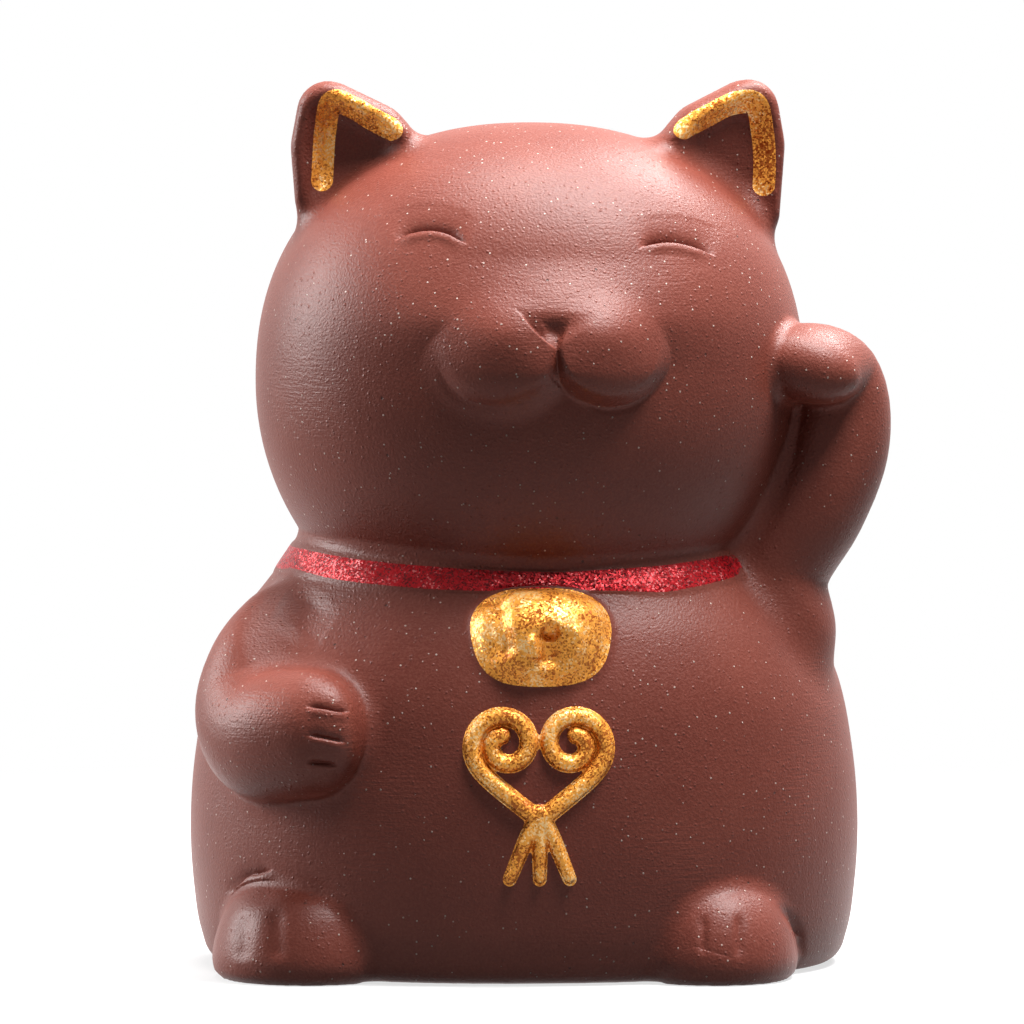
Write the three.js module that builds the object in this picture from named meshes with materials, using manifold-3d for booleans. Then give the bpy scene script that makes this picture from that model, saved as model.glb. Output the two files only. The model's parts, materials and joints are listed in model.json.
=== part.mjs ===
// A seated lucky-cat tea pet in unglazed purple clay, as a potter puts it together: a hollow body on an inset
// base disc, a hollow head luted on its neck, solid ears, arms, feet and tail luted on the shells, and the
// moulded collar, bell, cloud ornament and ear edging that are painted over.
// Millimetres, +Z up, the face looks along -Y, and the origin lies on the table under the middle of the figure.

import * as THREE from "three";
import Module from "manifold-3d";
import { mergeVertices } from "three/addons/utils/BufferGeometryUtils.js";

const wasm = await Module();
wasm.setup();

// Clay and seams
const wall = 3.6; // thickness of both hollow shells
const slip = 0.3; // seam of clay slip between two luted pieces
const trimSeam = 0.15; // seam under a thin moulded trim piece

// Body shell
const bodyHeight = 41; // table to neck
const bodyHalfWidth = 32.1;
const bodyFront = 27.3;
const bodyBack = 25.5;
const bodyPower = 2.2; // 2 is an ellipse, more is squarer
// Share of the height, then the share of the width and depth reached there
const bodyOutline = [
  [0, 0.895],
  [0.015, 0.93],
  [0.07, 0.964],
  [0.18, 0.988],
  [0.33, 0.998],
  [0.5, 0.982],
  [0.68, 0.934],
  [0.8, 0.86],
  [0.9, 0.762],
  [0.96, 0.705],
  [1, 0.68],
];

// Base disc
const baseThickness = 3.2;
const baseRecess = 0.8; // the figure stands on its rim, clear of the disc
const ventRadius = 4; // lets the hollow breathe in the kiln

// Head shell, whose own frame has its origin at the middle of the neck joint
const headOffset = 0.55; // the head sits a little towards the raised arm
const headHalfWidth = 26.3;
const headFront = 24.3;
const headBack = 24;
const headRise = 24.8; // widest level to crown
const headDrop = 14.5; // widest level to neck joint
const headLowerRadius = 26.2;
const headPower = 2.25;
const headPlanPower = 2.15;

// Face: places are across from the middle of the face and up from the neck joint
const faceOffset = 0.2; // middle of the head to the middle of the face
const muzzle = { up: 21.6, halfWidth: 10.5, rise: 7, height: 2.2 };
const lip = { across: 5.4, up: 19.3, halfWidth: 6, halfHeight: 5.5, height: 0.9 };
const mouthGroove = 0.42;
const eye = { across: 11.7, offset: 0.45, up: 28.4, halfWidth: 3.7, arch: 1.35, groove: 0.45 };
const nose = { up: 21.8, halfWidth: 2.9, halfHeight: 1.4, depth: 1 };

// Ears: a rounded triangle with full sides seen from the front. Its arcs are set in from the side of the head
// and up from the crown, and depths run from the middle of the ear towards the face
const earArcs = [
  { inset: 6.5, rise: -9.8, radius: 3.1 }, // outer corner
  { inset: 7.3, rise: -2.2, radius: 4.5 }, // outer side
  { inset: 6.4, rise: 1.2, radius: 3 }, // tip
  { inset: 10.5, rise: -1.6, radius: 4.1 }, // slope towards the crown
  { inset: 14.8, rise: -3.8, radius: 2.5 }, // inner corner
];
const earOffset = 0.65; // middle of the head to the middle between the ears
const earTurn = 14; // degrees that the ear faces outwards
const earAhead = 1; // middle of the head to the middle of an ear
// Depth, then the share of the outline there, from the back to the rim
const earSections = [
  [-4.2, 0.3],
  [-3.6, 0.62],
  [-2.2, 0.86],
  [0, 0.98],
  [1.8, 1],
  [2.9, 0.94],
  [3.3, 0.83],
];
const earPocket = { depth: 0.8, share: 0.42 };
const gildThickness = 0.3;
const gildMargin = 0.03; // share of the outline left bare beside the gilt edge

// Limbs. A line holds how far round from the face it is, in degrees, how far above the neck joint, and how far
// out from the clay there. A girth holds the half thickness away from the clay and the half width along it
const restingArm = {
  line: [[-68, -7, -3.2], [-67, -11.4, -1.4], [-63, -15.8, -0.9], [-55, -17.8, 0.1], [-46, -17.4, 1.1],
    [-36, -16.9, 1.6], [-30.5, -16.7, 1]],
  girth: [[4.2, 4.2], [5, 5.2], [5.5, 6.2], [5.6, 6.4], [5.5, 6.2], [5.1, 6], [4.6, 5.8]],
};
const raisedArm = {
  line: [[70, -16.5, -5.4], [71, -9.5, -2.8], [73, -3.5, 0.3], [75, 3, 3.4], [77, 8.5, 3.5], [77, 13, 3.3],
    [75, 15.6, 2.4], [66, 16.7, 1.7], [57, 16.1, 2.4]],
  girth: [[3.6, 4.6], [4.9, 5.8], [5.2, 5.8], [5.4, 5.6], [5.6, 5.6], [5.5, 5.3], [4.9, 4.6], [4.7, 3.9],
    [4.4, 3.5]],
};
const tail = {
  line: [[171, -36, -1.6], [180, -35.6, 1.6], [190, -34.4, 2.4], [199, -31, 2.4], [203, -26.6, 1.9]],
  girth: [[3, 3.2], [3.6, 3.8], [3.7, 3.9], [3.6, 3.7], [3, 3.1]],
};
const fingerGroove = { radius: 0.42, startShare: 0.84, endShare: 0.965, around: [-38, 2, 40] };

// Feet: the middle is across from the middle of the body, and the toes reach out from the clay there
const feet = {
  foot_left: { across: 16.4, halfWidth: 8.3, halfLength: 10.8, height: 10.6, reach: 7.4 },
  foot_right: { across: -22.2, halfWidth: 9, halfLength: 10.4, height: 10.2, reach: 8.2 },
};
const footPower = 2.1;
const footRounding = 0.65; // 1 is a round top, less is fuller
const soleShare = 0.88; // how much of the foot's plan touches the table
const soleEdge = 2.2;
const toeGroove = { radius: 0.4, across: 0.3, low: 0.2, high: 0.62 }; // low and high are shares of the height

// Collar, bell and cloud ornament, placed down from the neck
const collar = { drop: 0.8, width: 2.9, thickness: 0.35, startTurn: 117, endTurn: 416 };
const bell = { across: -0.4, drop: 8.7, halfWidth: 6.6, halfHeight: 5.1, depth: 4.6, sunk: 1.6 };
const bellHole = { up: 0.9, radius: 1.15, slitHalfWidth: 0.4, slitLength: 3.4, slitDepth: 1.5 };
const ornament = { across: -0.9, drop: 22.2 };
const scroll = { across: 3.2, up: 4.2, outer: 3.35, inner: 0.95, turns: 1.32, start: 0.62, joint: -3 };
const tassel = { length: 6.2, spread: 2.8, narrowing: 0.3 };
const relief = { halfWidth: 0.8, height: 0.75 };

const neckLevel = bodyHeight + slip;

// The curve through the points of an outline
function shareAt(outline, t) {
  const last = outline.length - 1;
  let i = 0;
  while (i < last - 1 && t > outline[i + 1][0]) i += 1;
  const slope = (k) => (outline[k + 1][1] - outline[k][1]) / (outline[k + 1][0] - outline[k][0]);
  const [start, from] = outline[i];
  const [end, to] = outline[i + 1];
  const leaving = i > 0 ? (slope(i - 1) + slope(i)) / 2 : slope(i);
  const arriving = i < last - 1 ? (slope(i) + slope(i + 1)) / 2 : slope(i);
  const span = end - start;
  const s = (t - start) / span;
  return from * (2 * s ** 3 - 3 * s ** 2 + 1) + to * (3 * s ** 2 - 2 * s ** 3)
    + span * (leaving * (s ** 3 - 2 * s ** 2 + s) + arriving * (s ** 3 - s ** 2));
}

const spread = (values) => values.map((value, i) => [i / (values.length - 1), value]);
const ease = (from, to, value) => THREE.MathUtils.smoothstep(value, from, to);
const rounded = (value, power) => Math.sign(value) * Math.abs(value) ** (2 / power);
const middleOf = (ring) => ring.reduce((sum, p) => sum.add(p), ring[0].clone().multiplyScalar(0))
  .divideScalar(ring.length);

// A level section: an ellipse, made squarer by its power, with its own depth in front and behind
function planPoint(angle, [halfWidth, front, back], power) {
  const away = rounded(Math.sin(angle), power);
  return [halfWidth * rounded(Math.cos(angle), power), away * (away < 0 ? front : back)];
}

// Angles round a section from the back, closer together towards the face where crowding is above 0
function angles(count, crowding = 0) {
  return Array.from({ length: count }, (_, i) => {
    const turn = Math.PI * (-1 + (2 * i) / count);
    return turn - Math.PI / 2 - crowding * Math.sin(turn);
  });
}

// Faces between rings of equal count, where ring a leads to ring b
function bridge(index, a, b, count) {
  for (let i = 0; i < count; i += 1) {
    const next = (i + 1) % count;
    index.push(a + i, a + next, b + next, a + i, b + next, b + i);
  }
}

// A closed skin over rings that turn left-handed on their way up. Each end is closed towards its tip
function skin(rings, startTip = middleOf(rings[0]), endTip = middleOf(rings.at(-1))) {
  const count = rings[0].length;
  const points = [...rings.flat(), startTip, endTip];
  const top = (rings.length - 1) * count;
  const index = [];
  for (let ring = 0; ring < top; ring += count) bridge(index, ring, ring + count, count);
  for (let i = 0; i < count; i += 1) {
    const next = (i + 1) % count;
    index.push(points.length - 2, next, i, points.length - 1, top + i, top + next);
  }
  return new THREE.BufferGeometry().setFromPoints(points).setIndex(index);
}

// A ring-shaped solid, where the last ring leads back to the first
function hoop(rings) {
  const count = rings[0].length;
  const index = [];
  rings.forEach((_, j) => bridge(index, j * count, ((j + 1) % rings.length) * count, count));
  return new THREE.BufferGeometry().setFromPoints(rings.flat()).setIndex(index);
}

function solid(geometry) {
  const bare = geometry.clone();
  bare.deleteAttribute("normal");
  bare.deleteAttribute("uv");
  const merged = mergeVertices(bare, 1e-4);
  return new wasm.Manifold(new wasm.Mesh({
    numProp: 3,
    vertProperties: merged.attributes.position.array,
    triVerts: new Uint32Array(merged.index.array),
  }));
}

function geometryOf(made) {
  const mesh = made.getMesh();
  const geometry = new THREE.BufferGeometry()
    .setAttribute("position", new THREE.BufferAttribute(new Float32Array(mesh.vertProperties), 3))
    .setIndex(new THREE.BufferAttribute(new Uint32Array(mesh.triVerts), 1));
  geometry.computeVertexNormals();
  return geometry;
}

const cut = (piece, ...tools) => tools.reduce((rest, tool) => rest.subtract(tool), piece);

// Body: half width, front and back at a height, grown all round by an amount
function bodySection(height, grow = 0) {
  const share = shareAt(bodyOutline, THREE.MathUtils.clamp(height / bodyHeight, 0, 1));
  return [bodyHalfWidth * share + grow, bodyFront * share + grow, bodyBack * share + grow];
}

function bodyGeometry(levels, columns, grow) {
  return skin(levels.map((z) => angles(columns).map((angle) => (
    new THREE.Vector3(...planPoint(angle, bodySection(z, grow), bodyPower), z)))));
}

// How far forward the belly lies, straight ahead of a point
function bellyY(x, z, grow = 0) {
  const [halfWidth, front] = bodySection(z, grow);
  return -front * (1 - Math.abs(x / halfWidth) ** bodyPower) ** (1 / bodyPower);
}

const bodyLevels = [0, 0.008, 0.022, 0.05, 0.1, 0.18, 0.27, 0.36, 0.45, 0.54, 0.62, 0.7, 0.77, 0.83, 0.88, 0.93,
  0.965, 1].map((share) => share * bodyHeight);
const discTop = baseRecess + baseThickness;
const hollowLevels = [-1, baseRecess, discTop, ...[0.3, 0.45, 0.6, 0.72, 0.82, 0.91].map((s) => s * bodyHeight),
  bodyHeight + 1];
const hollowColumns = 32;

const bodyGrown = solid(bodyGeometry(bodyLevels, 48, slip));
const bodyShell = cut(solid(bodyGeometry(bodyLevels, 48, 0)),
  solid(bodyGeometry(hollowLevels, hollowColumns, -wall)));
const vent = new THREE.CylinderGeometry(ventRadius, ventRadius, 3 * discTop, 24).rotateX(Math.PI / 2);
const baseDisc = cut(solid(bodyGeometry([baseRecess, discTop], hollowColumns, -wall - slip)), solid(vent));

// Head: the share of its width and depth at a height above the neck joint
function headShare(up) {
  const h = up - headDrop;
  return h > 0 ? (1 - (h / headRise) ** headPower) ** (1 / headPower) : Math.sqrt(1 - (h / headLowerRadius) ** 2);
}

// The face as a height over the plain head: a soft crest above two full lips that end in a step
function faceRelief(x, up) {
  const across = x - faceOffset;
  const toLip = Math.hypot((Math.abs(across) - lip.across) / lip.halfWidth, (up - lip.up) / lip.halfHeight);
  const crest = muzzle.height
    * Math.exp(-((across / muzzle.halfWidth) ** 2) - ((up - muzzle.up) / muzzle.rise) ** 2);
  const above = ease(lip.up - 3, lip.up + 3, up);
  return crest * Math.max(1 - ease(0.8, 1.4, toLip), above) + lip.height * Math.max(0, 1 - toLip ** 2);
}

// A point of the head, from its turn down from the crown and its angle round the head
function headPoint(turn, angle, grow, withFace) {
  const lower = Math.cos(turn) < 0;
  const rise = lower
    ? (headLowerRadius + grow) * Math.cos(turn)
    : (headRise + grow) * rounded(Math.cos(turn), headPower);
  const share = lower ? Math.sin(turn) : rounded(Math.sin(turn), headPower);
  const section = [headHalfWidth, headFront, headBack].map((size) => (size + grow) * share);
  const point = new THREE.Vector3(...planPoint(angle, section, headPlanPower), headDrop + rise);
  if (withFace && point.y < 0) point.y -= faceRelief(point.x, point.z) * ease(0, 6, -point.y);
  return point;
}

function headGeometry(rows, columns, grow = 0, withFace = true, bottom = headDrop) {
  const lowest = Math.acos(-bottom / (headLowerRadius + grow));
  const highest = 0.04;
  const rings = Array.from({ length: rows }, (_, j) => {
    const turn = lowest + ((highest - lowest) * j) / (rows - 1);
    return angles(columns, withFace ? 0.42 : 0).map((angle) => headPoint(turn, angle, grow, withFace));
  });
  return skin(rings, middleOf(rings[0]), new THREE.Vector3(0, 0, headDrop + headRise + grow));
}

// The point of the face's surface at a place across and up, raised by an amount
function onFace(across, up, raised = 0) {
  const x = faceOffset + across;
  const [halfWidth, front] = [headHalfWidth, headFront].map((size) => size * headShare(up));
  const plain = -front * (1 - Math.abs(x / halfWidth) ** headPlanPower) ** (1 / headPlanPower);
  return new THREE.Vector3(x, plain - faceRelief(x, up) - raised, up);
}

// Where a limb's line runs: round from the face, above the neck joint and out from the clay
function besideClay([turn, up, out]) {
  const angle = THREE.MathUtils.degToRad(turn - 90);
  if (up < 0) {
    const z = bodyHeight + up;
    return new THREE.Vector3(...planPoint(angle, bodySection(z, out), bodyPower), z);
  }
  const section = [headHalfWidth, headFront, headBack].map((size) => size * headShare(up) + out);
  const point = new THREE.Vector3(...planPoint(angle, section, headPlanPower), neckLevel + up);
  return point.setX(point.x + headOffset);
}

const smooth = (points) => new THREE.CatmullRomCurve3(points, false, "centripetal");

// A limb's oval section at a share of its length, seen as its middle and its two half axes
function limbSection({ path, thickness, width }, t) {
  const middle = path.getPointAt(t);
  const along = path.getTangentAt(t);
  const out = new THREE.Vector3(middle.x, middle.y, 0).normalize();
  out.addScaledVector(along, -out.dot(along)).normalize();
  return {
    middle,
    out: out.clone().multiplyScalar(shareAt(thickness, t)),
    side: along.clone().cross(out).multiplyScalar(shareAt(width, t)),
  };
}

function onLimb(limb, t, around, share = 1) {
  const { middle, out, side } = limbSection(limb, t);
  const angle = THREE.MathUtils.degToRad(around);
  return middle.addScaledVector(out, share * Math.cos(angle)).addScaledVector(side, share * Math.sin(angle));
}

// Oval sections along the line, with both ends rounded off
function limbGeometry(limb, rows, sides) {
  const length = limb.path.getLength();
  const rings = [];
  for (let j = 1; j < rows; j += 1) {
    const t = (1 - Math.cos((Math.PI * j) / rows)) / 2;
    const radius = Math.min(shareAt(limb.thickness, t), shareAt(limb.width, t));
    const toEnd = Math.min(1, (Math.min(t, 1 - t) * length) / radius);
    const share = Math.sqrt(1 - (1 - toEnd) ** 2);
    rings.push(Array.from({ length: sides }, (_, i) => onLimb(limb, t, (360 * i) / sides, share)));
  }
  return skin(rings, limb.path.getPointAt(0), limb.path.getPointAt(1));
}

const limbOf = ({ line, girth }, grow = 0) => ({
  path: smooth(line.map(besideClay)),
  thickness: spread(girth.map(([half]) => half + grow)),
  width: spread(girth.map(([, half]) => half + grow)),
});

// A thin bent rod, pressed in to leave a groove
function groove(points, radius, rows = 10) {
  const even = [[0, radius], [1, radius]];
  return solid(limbGeometry({ path: smooth(points), thickness: even, width: even }, rows, 6));
}

const steps = (count, place) => Array.from({ length: count + 1 }, (_, i) => place(i / count));

function mouthGrooves() {
  const lips = [-1, 1].map((side) => groove(steps(8, (s) => {
    const angle = Math.PI * (1.1 + 0.76 * s);
    const across = side * (lip.across - lip.halfWidth * Math.cos(angle));
    return onFace(across, lip.up + lip.halfHeight * Math.sin(angle), 0.1);
  }), mouthGroove, 14));
  const parting = steps(3, (s) => onFace(0, nose.up + (lip.up - lip.halfHeight / 2 - nose.up) * s));
  return [...lips, groove(parting, mouthGroove, 6)];
}

function eyeGrooves() {
  return [-1, 1].map((side) => groove(steps(6, (s) => {
    const along = 2 * s - 1;
    return onFace(eye.offset + side * eye.across + along * eye.halfWidth, eye.up + eye.arch * (1 - along ** 2));
  }), eye.groove));
}

function nosePit() {
  const plan = new THREE.Shape([[-1, 1], [0, -1], [1, 1]].map(([x, z]) => (
    new THREE.Vector2(x * nose.halfWidth, z * nose.halfHeight))));
  const bottom = onFace(0, nose.up, -nose.depth);
  const pit = new THREE.ExtrudeGeometry(plan, { depth: 4 * nose.depth, bevelEnabled: false });
  return solid(pit.rotateX(Math.PI / 2).translate(bottom.x, bottom.y, bottom.z));
}

const headGrown = solid(headGeometry(26, 44, slip, false));
const headPlaced = solid(headGeometry(26, 44, slip, false).translate(headOffset, 0, neckLevel));
const headShell = cut(solid(headGeometry(34, 56)), solid(headGeometry(12, 26, -wall, false, headDrop + 1)),
  ...mouthGrooves(), ...eyeGrooves(), nosePit());

// Ear outline: the tight line round its arcs, as equal steps
function earOutline(side) {
  const arcs = (side > 0 ? earArcs : earArcs.toReversed()).map(({ inset, rise, radius }) => ({
    centre: new THREE.Vector2(earOffset + side * (headHalfWidth - inset), headDrop + headRise + rise),
    radius,
  }));
  const outline = new THREE.Path();
  const leaving = (from, to) => {
    const way = to.centre.clone().sub(from.centre);
    return way.angle() - Math.PI / 2 - Math.asin((to.radius - from.radius) / way.length());
  };
  arcs.forEach((arc, i) => {
    const after = arcs[(i + 1) % arcs.length];
    outline.absarc(arc.centre.x, arc.centre.y, arc.radius, leaving(arcs.at(i - 1), arc), leaving(arc, after),
      false);
  });
  outline.closePath();
  return outline.getSpacedPoints(30).slice(0, -1);
}

// Rings of an ear: its outline drawn in to a share of its size, at a depth
function earRings(side) {
  const outline = earOutline(side);
  const middle = middleOf(outline);
  const turn = THREE.MathUtils.degToRad(side * earTurn);
  const place = (across, up, depth) => new THREE.Vector3(
    middle.x + across * Math.cos(turn) + depth * Math.sin(turn),
    across * Math.sin(turn) - depth * Math.cos(turn) - earAhead,
    middle.y + up,
  );
  return (depth, share) => outline.map((p) => place((p.x - middle.x) * share, (p.y - middle.y) * share, depth));
}

function earSolid(side) {
  const ring = earRings(side);
  const rings = [...earSections.map(([depth, share]) => ring(depth, share)), ring(earPocket.depth, earPocket.share)];
  return cut(solid(skin(rings)), headGrown);
}

// The gilt edge lies on the slope between the rim of the ear and the floor of its pocket
function earGilding(side) {
  const ring = earRings(side);
  const [rimDepth, rimShare] = earSections.at(-1);
  const slope = (rimDepth - earPocket.depth) / (rimShare - earPocket.share);
  const onSlope = (share, raised) => ring(earPocket.depth + slope * (share - earPocket.share) + raised, share);
  const outer = rimShare - gildMargin;
  const inner = earPocket.share + gildMargin;
  const top = trimSeam + gildThickness;
  return cut(solid(hoop([onSlope(outer, trimSeam), onSlope(outer, top), onSlope(inner, top),
    onSlope(inner, trimSeam)])), headGrown);
}

// Arms, tail and feet
const armResting = limbOf(restingArm);
const fingers = fingerGroove.around.map((around) => {
  const { startShare, endShare, radius } = fingerGroove;
  return groove(steps(3, (s) => onLimb(armResting, THREE.MathUtils.lerp(startShare, endShare, s), around)), radius);
});
const restingSolid = cut(solid(limbGeometry(armResting, 22, 16)), bodyGrown, headPlaced, ...fingers);
const raisedSolid = cut(solid(limbGeometry(limbOf(raisedArm), 26, 16)), bodyGrown, headPlaced);
const tailSolid = cut(solid(limbGeometry(limbOf(tail), 16, 12)), bodyGrown);

function footSolid({ across, halfWidth, halfLength, height, reach }) {
  const rows = 9;
  const y = bellyY(across, 0) - reach + halfLength;
  const sizesAt = (z) => {
    const drawn = Math.sqrt(1 - (z / height) ** 2) ** footRounding;
    const share = drawn * (soleShare + (1 - soleShare) * ease(0, soleEdge, z));
    return [halfWidth, halfLength, halfLength].map((size) => size * share);
  };
  const rings = Array.from({ length: rows }, (_, j) => {
    const z = height * Math.sin((Math.PI / 2) * (j / rows));
    return angles(22).map((angle) => {
      const [x, away] = planPoint(angle, sizesAt(z), footPower);
      return new THREE.Vector3(across + x, y + away, z);
    });
  });
  const toes = [-1, 1].map((side) => {
    const x = side * toeGroove.across * halfWidth;
    return groove(steps(4, (s) => {
      const z = THREE.MathUtils.lerp(toeGroove.low, toeGroove.high, s) * height;
      const [half, front] = sizesAt(z);
      const face = y - front * (1 - Math.abs(x / half) ** footPower) ** (1 / footPower);
      return new THREE.Vector3(across + x, face - toeGroove.radius / 4, z);
    }), toeGroove.radius, 8);
  });
  return cut(solid(skin(rings, middleOf(rings[0]), new THREE.Vector3(across, y, height))), bodyGrown, ...toes);
}

// Collar: a band round the neck, open where the raised arm stands
function collarSolid() {
  const level = bodyHeight - collar.drop - collar.width / 2;
  const profile = [[1, 0], [0.8, 0.9], [0, 1], [-0.8, 0.9], [-1, 0]];
  const rings = steps(52, (s) => {
    const angle = THREE.MathUtils.degToRad(THREE.MathUtils.lerp(collar.startTurn, collar.endTurn, s) - 90);
    const half = (collar.width / 2) * Math.sqrt(Math.min(1, Math.min(s, 1 - s) * 16 + 0.12));
    return profile.map(([up, out]) => {
      const z = level + up * half;
      const section = bodySection(z, trimSeam + out * collar.thickness);
      return new THREE.Vector3(...planPoint(angle, section, bodyPower), z);
    });
  });
  const arms = [restingArm, raisedArm].map((arm) => solid(limbGeometry(limbOf(arm, slip), 24, 16)));
  return cut(solid(skin(rings)), ...arms);
}

function bellSolid() {
  const z = bodyHeight - bell.drop;
  const y = bellyY(bell.across, z) + bell.sunk;
  const dome = new THREE.SphereGeometry(1, 26, 14)
    .scale(bell.halfWidth, bell.depth, bell.halfHeight)
    .translate(bell.across, y, z);
  const front = y - bell.depth;
  const hole = new THREE.SphereGeometry(bellHole.radius, 12, 8).translate(bell.across, front, z + bellHole.up);
  const slit = new THREE.BoxGeometry(2 * bellHole.slitHalfWidth, 2 * bellHole.slitDepth, bellHole.slitLength)
    .translate(bell.across, front, z + bellHole.up - bellHole.slitLength / 2);
  const collarRoom = solid(bodyGeometry([bodyHeight - collar.drop - collar.width - trimSeam, bodyHeight], 48,
    collar.thickness + 2 * trimSeam));
  return cut(solid(dome), solid(bodyGeometry(bodyLevels, 48, trimSeam)), collarRoom, solid(hole), solid(slit));
}

// One raised stroke of the ornament, drawn flat
function stroke(points, count, narrowing = 0) {
  const line = smooth(points.map(([x, z]) => new THREE.Vector3(x, 0, z)));
  const profile = [[1, 0], [-1, 0], [-0.78, 0.7], [0, 1], [0.78, 0.7]];
  return solid(skin(steps(count, (t) => {
    const end = Math.sqrt(Math.min(1, Math.min(t, 1 - t) * 9 + 0.1));
    const half = relief.halfWidth * end * (1 - narrowing * t);
    const along = line.getTangentAt(t);
    const side = new THREE.Vector3(along.z, 0, -along.x);
    return profile.map(([across, high]) => line.getPointAt(t).addScaledVector(side, across * half)
      .setY(-high * end * relief.height));
  })));
}

// A curl that starts below the middle of the ornament and winds in
function curl(side) {
  const winding = steps(14, (s) => {
    const angle = 2 * Math.PI * (scroll.start - scroll.turns * s);
    const radius = scroll.outer + (scroll.inner - scroll.outer) * s;
    return [side * (radius * Math.cos(angle) - scroll.across), scroll.up + radius * Math.sin(angle)];
  });
  return stroke([[0, scroll.joint], ...winding], 32);
}

function ornamentSolid() {
  const strands = [-1, 0, 1].map((side) => {
    const { length, spread: wide, narrowing } = tassel;
    const top = scroll.joint + relief.halfWidth;
    const points = [[0, top], [side * wide * 0.45, top - length * 0.4], [side * wide, top - length]];
    return stroke(points, 9, narrowing);
  });
  const flat = geometryOf([curl(1), curl(-1), ...strands].reduce((all, next) => all.add(next)));
  const position = flat.attributes.position;
  for (let i = 0; i < position.count; i += 1) {
    const x = ornament.across + position.getX(i);
    const z = bodyHeight - ornament.drop + position.getZ(i);
    position.setXYZ(i, x, bellyY(x, z, trimSeam) + position.getY(i), z);
  }
  return solid(flat);
}

const clay = new THREE.MeshStandardMaterial({ color: 0x7b4336, roughness: 0.62, metalness: 0 });
const gold = new THREE.MeshStandardMaterial({ color: 0xc8892f, roughness: 0.42, metalness: 0.75 });
const red = new THREE.MeshStandardMaterial({ color: 0xa01226, roughness: 0.4, metalness: 0.35 });

function group(pieces) {
  const made = new THREE.Group();
  for (const [name, piece, material] of pieces) {
    const mesh = new THREE.Mesh(geometryOf(piece), material);
    mesh.name = name;
    made.add(mesh);
  }
  return made;
}

const head = group([
  ["head_shell", headShell, clay],
  ["ear_left", earSolid(1), clay],
  ["ear_right", earSolid(-1), clay],
  ["ear_gilding_left", earGilding(1), gold],
  ["ear_gilding_right", earGilding(-1), gold],
]);
head.position.set(headOffset, 0, neckLevel);

const figure = group([
  ["body_shell", bodyShell, clay],
  ["base_disc", baseDisc, clay],
  ["arm_raised", raisedSolid, clay],
  ["arm_resting", restingSolid, clay],
  ...Object.entries(feet).map(([name, foot]) => [name, footSolid(foot), clay]),
  ["tail", tailSolid, clay],
  ["collar_band", collarSolid(), red],
  ["bell", bellSolid(), gold],
  ["cloud_ornament", ornamentSolid(), gold],
]);
figure.add(head);

// The origin goes under the middle of the whole figure
const box = new THREE.Box3().setFromObject(figure);
const middle = box.getCenter(new THREE.Vector3());
figure.position.set(-middle.x, -middle.y, -box.min.z);

export default figure;
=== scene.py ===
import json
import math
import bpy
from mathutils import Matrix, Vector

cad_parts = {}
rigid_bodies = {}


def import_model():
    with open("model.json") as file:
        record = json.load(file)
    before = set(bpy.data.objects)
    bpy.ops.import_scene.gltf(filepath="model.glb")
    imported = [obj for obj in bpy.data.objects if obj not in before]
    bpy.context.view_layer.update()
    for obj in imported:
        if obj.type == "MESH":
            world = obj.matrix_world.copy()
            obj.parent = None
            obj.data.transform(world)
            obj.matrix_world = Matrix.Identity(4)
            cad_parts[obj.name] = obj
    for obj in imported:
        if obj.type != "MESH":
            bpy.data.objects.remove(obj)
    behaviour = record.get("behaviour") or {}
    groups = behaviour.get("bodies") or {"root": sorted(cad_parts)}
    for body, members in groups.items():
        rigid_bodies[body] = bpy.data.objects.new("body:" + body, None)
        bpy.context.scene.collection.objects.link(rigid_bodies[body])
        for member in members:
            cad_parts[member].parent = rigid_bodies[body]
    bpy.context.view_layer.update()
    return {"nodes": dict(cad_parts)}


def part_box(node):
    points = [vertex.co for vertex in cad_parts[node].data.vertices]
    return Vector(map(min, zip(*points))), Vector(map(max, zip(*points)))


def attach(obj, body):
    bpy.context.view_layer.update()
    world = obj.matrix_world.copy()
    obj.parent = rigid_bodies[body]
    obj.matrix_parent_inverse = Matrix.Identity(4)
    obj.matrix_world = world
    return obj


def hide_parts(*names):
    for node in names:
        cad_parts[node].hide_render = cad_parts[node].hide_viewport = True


bl_info = {
    "name": "Clay cat figure",
    "version": (1, 0, 0),
    "blender": (4, 5, 0),
    "location": "View3D > Sidebar > Clay cat",
    "description": "Moulds a seated clay cat around its packed solids and parts it into its pieces",
    "category": "Add Mesh",
}

import bmesh
import bpy
import numpy as np
from bpy.props import FloatProperty, FloatVectorProperty, PointerProperty
from bpy.types import Operator, Panel, PropertyGroup
from mathutils import Matrix, Vector
from mathutils.bvhtree import BVHTree

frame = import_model()
MM = 0.001  # the clay is shaped in millimetres, from the point on the table under the body's axis

# Body: share of the height, then the share of the width and depth reached there
BODY_HEIGHT, BODY_HALF_WIDTH, BODY_FRONT, BODY_BACK, BODY_POWER = 41, 32.1, 27.3, 25.5, 2.2
BODY_OUTLINE = ((0, 0.895), (0.015, 0.93), (0.07, 0.964), (0.18, 0.988), (0.33, 0.998), (0.5, 0.982),
                (0.68, 0.934), (0.8, 0.86), (0.9, 0.762), (0.96, 0.705), (1, 0.68))
WALL = 3.6

# Head, from the middle of the neck joint
HEAD_PLACE = np.array((0.55, 0, 41.3))
HEAD_HALF_WIDTH, HEAD_FRONT, HEAD_BACK = 26.3, 24.3, 24
HEAD_RISE, HEAD_DROP, HEAD_LOWER_RADIUS = 24.8, 14.5, 26.2
HEAD_POWER, HEAD_PLAN_POWER = 2.25, 2.15

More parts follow.
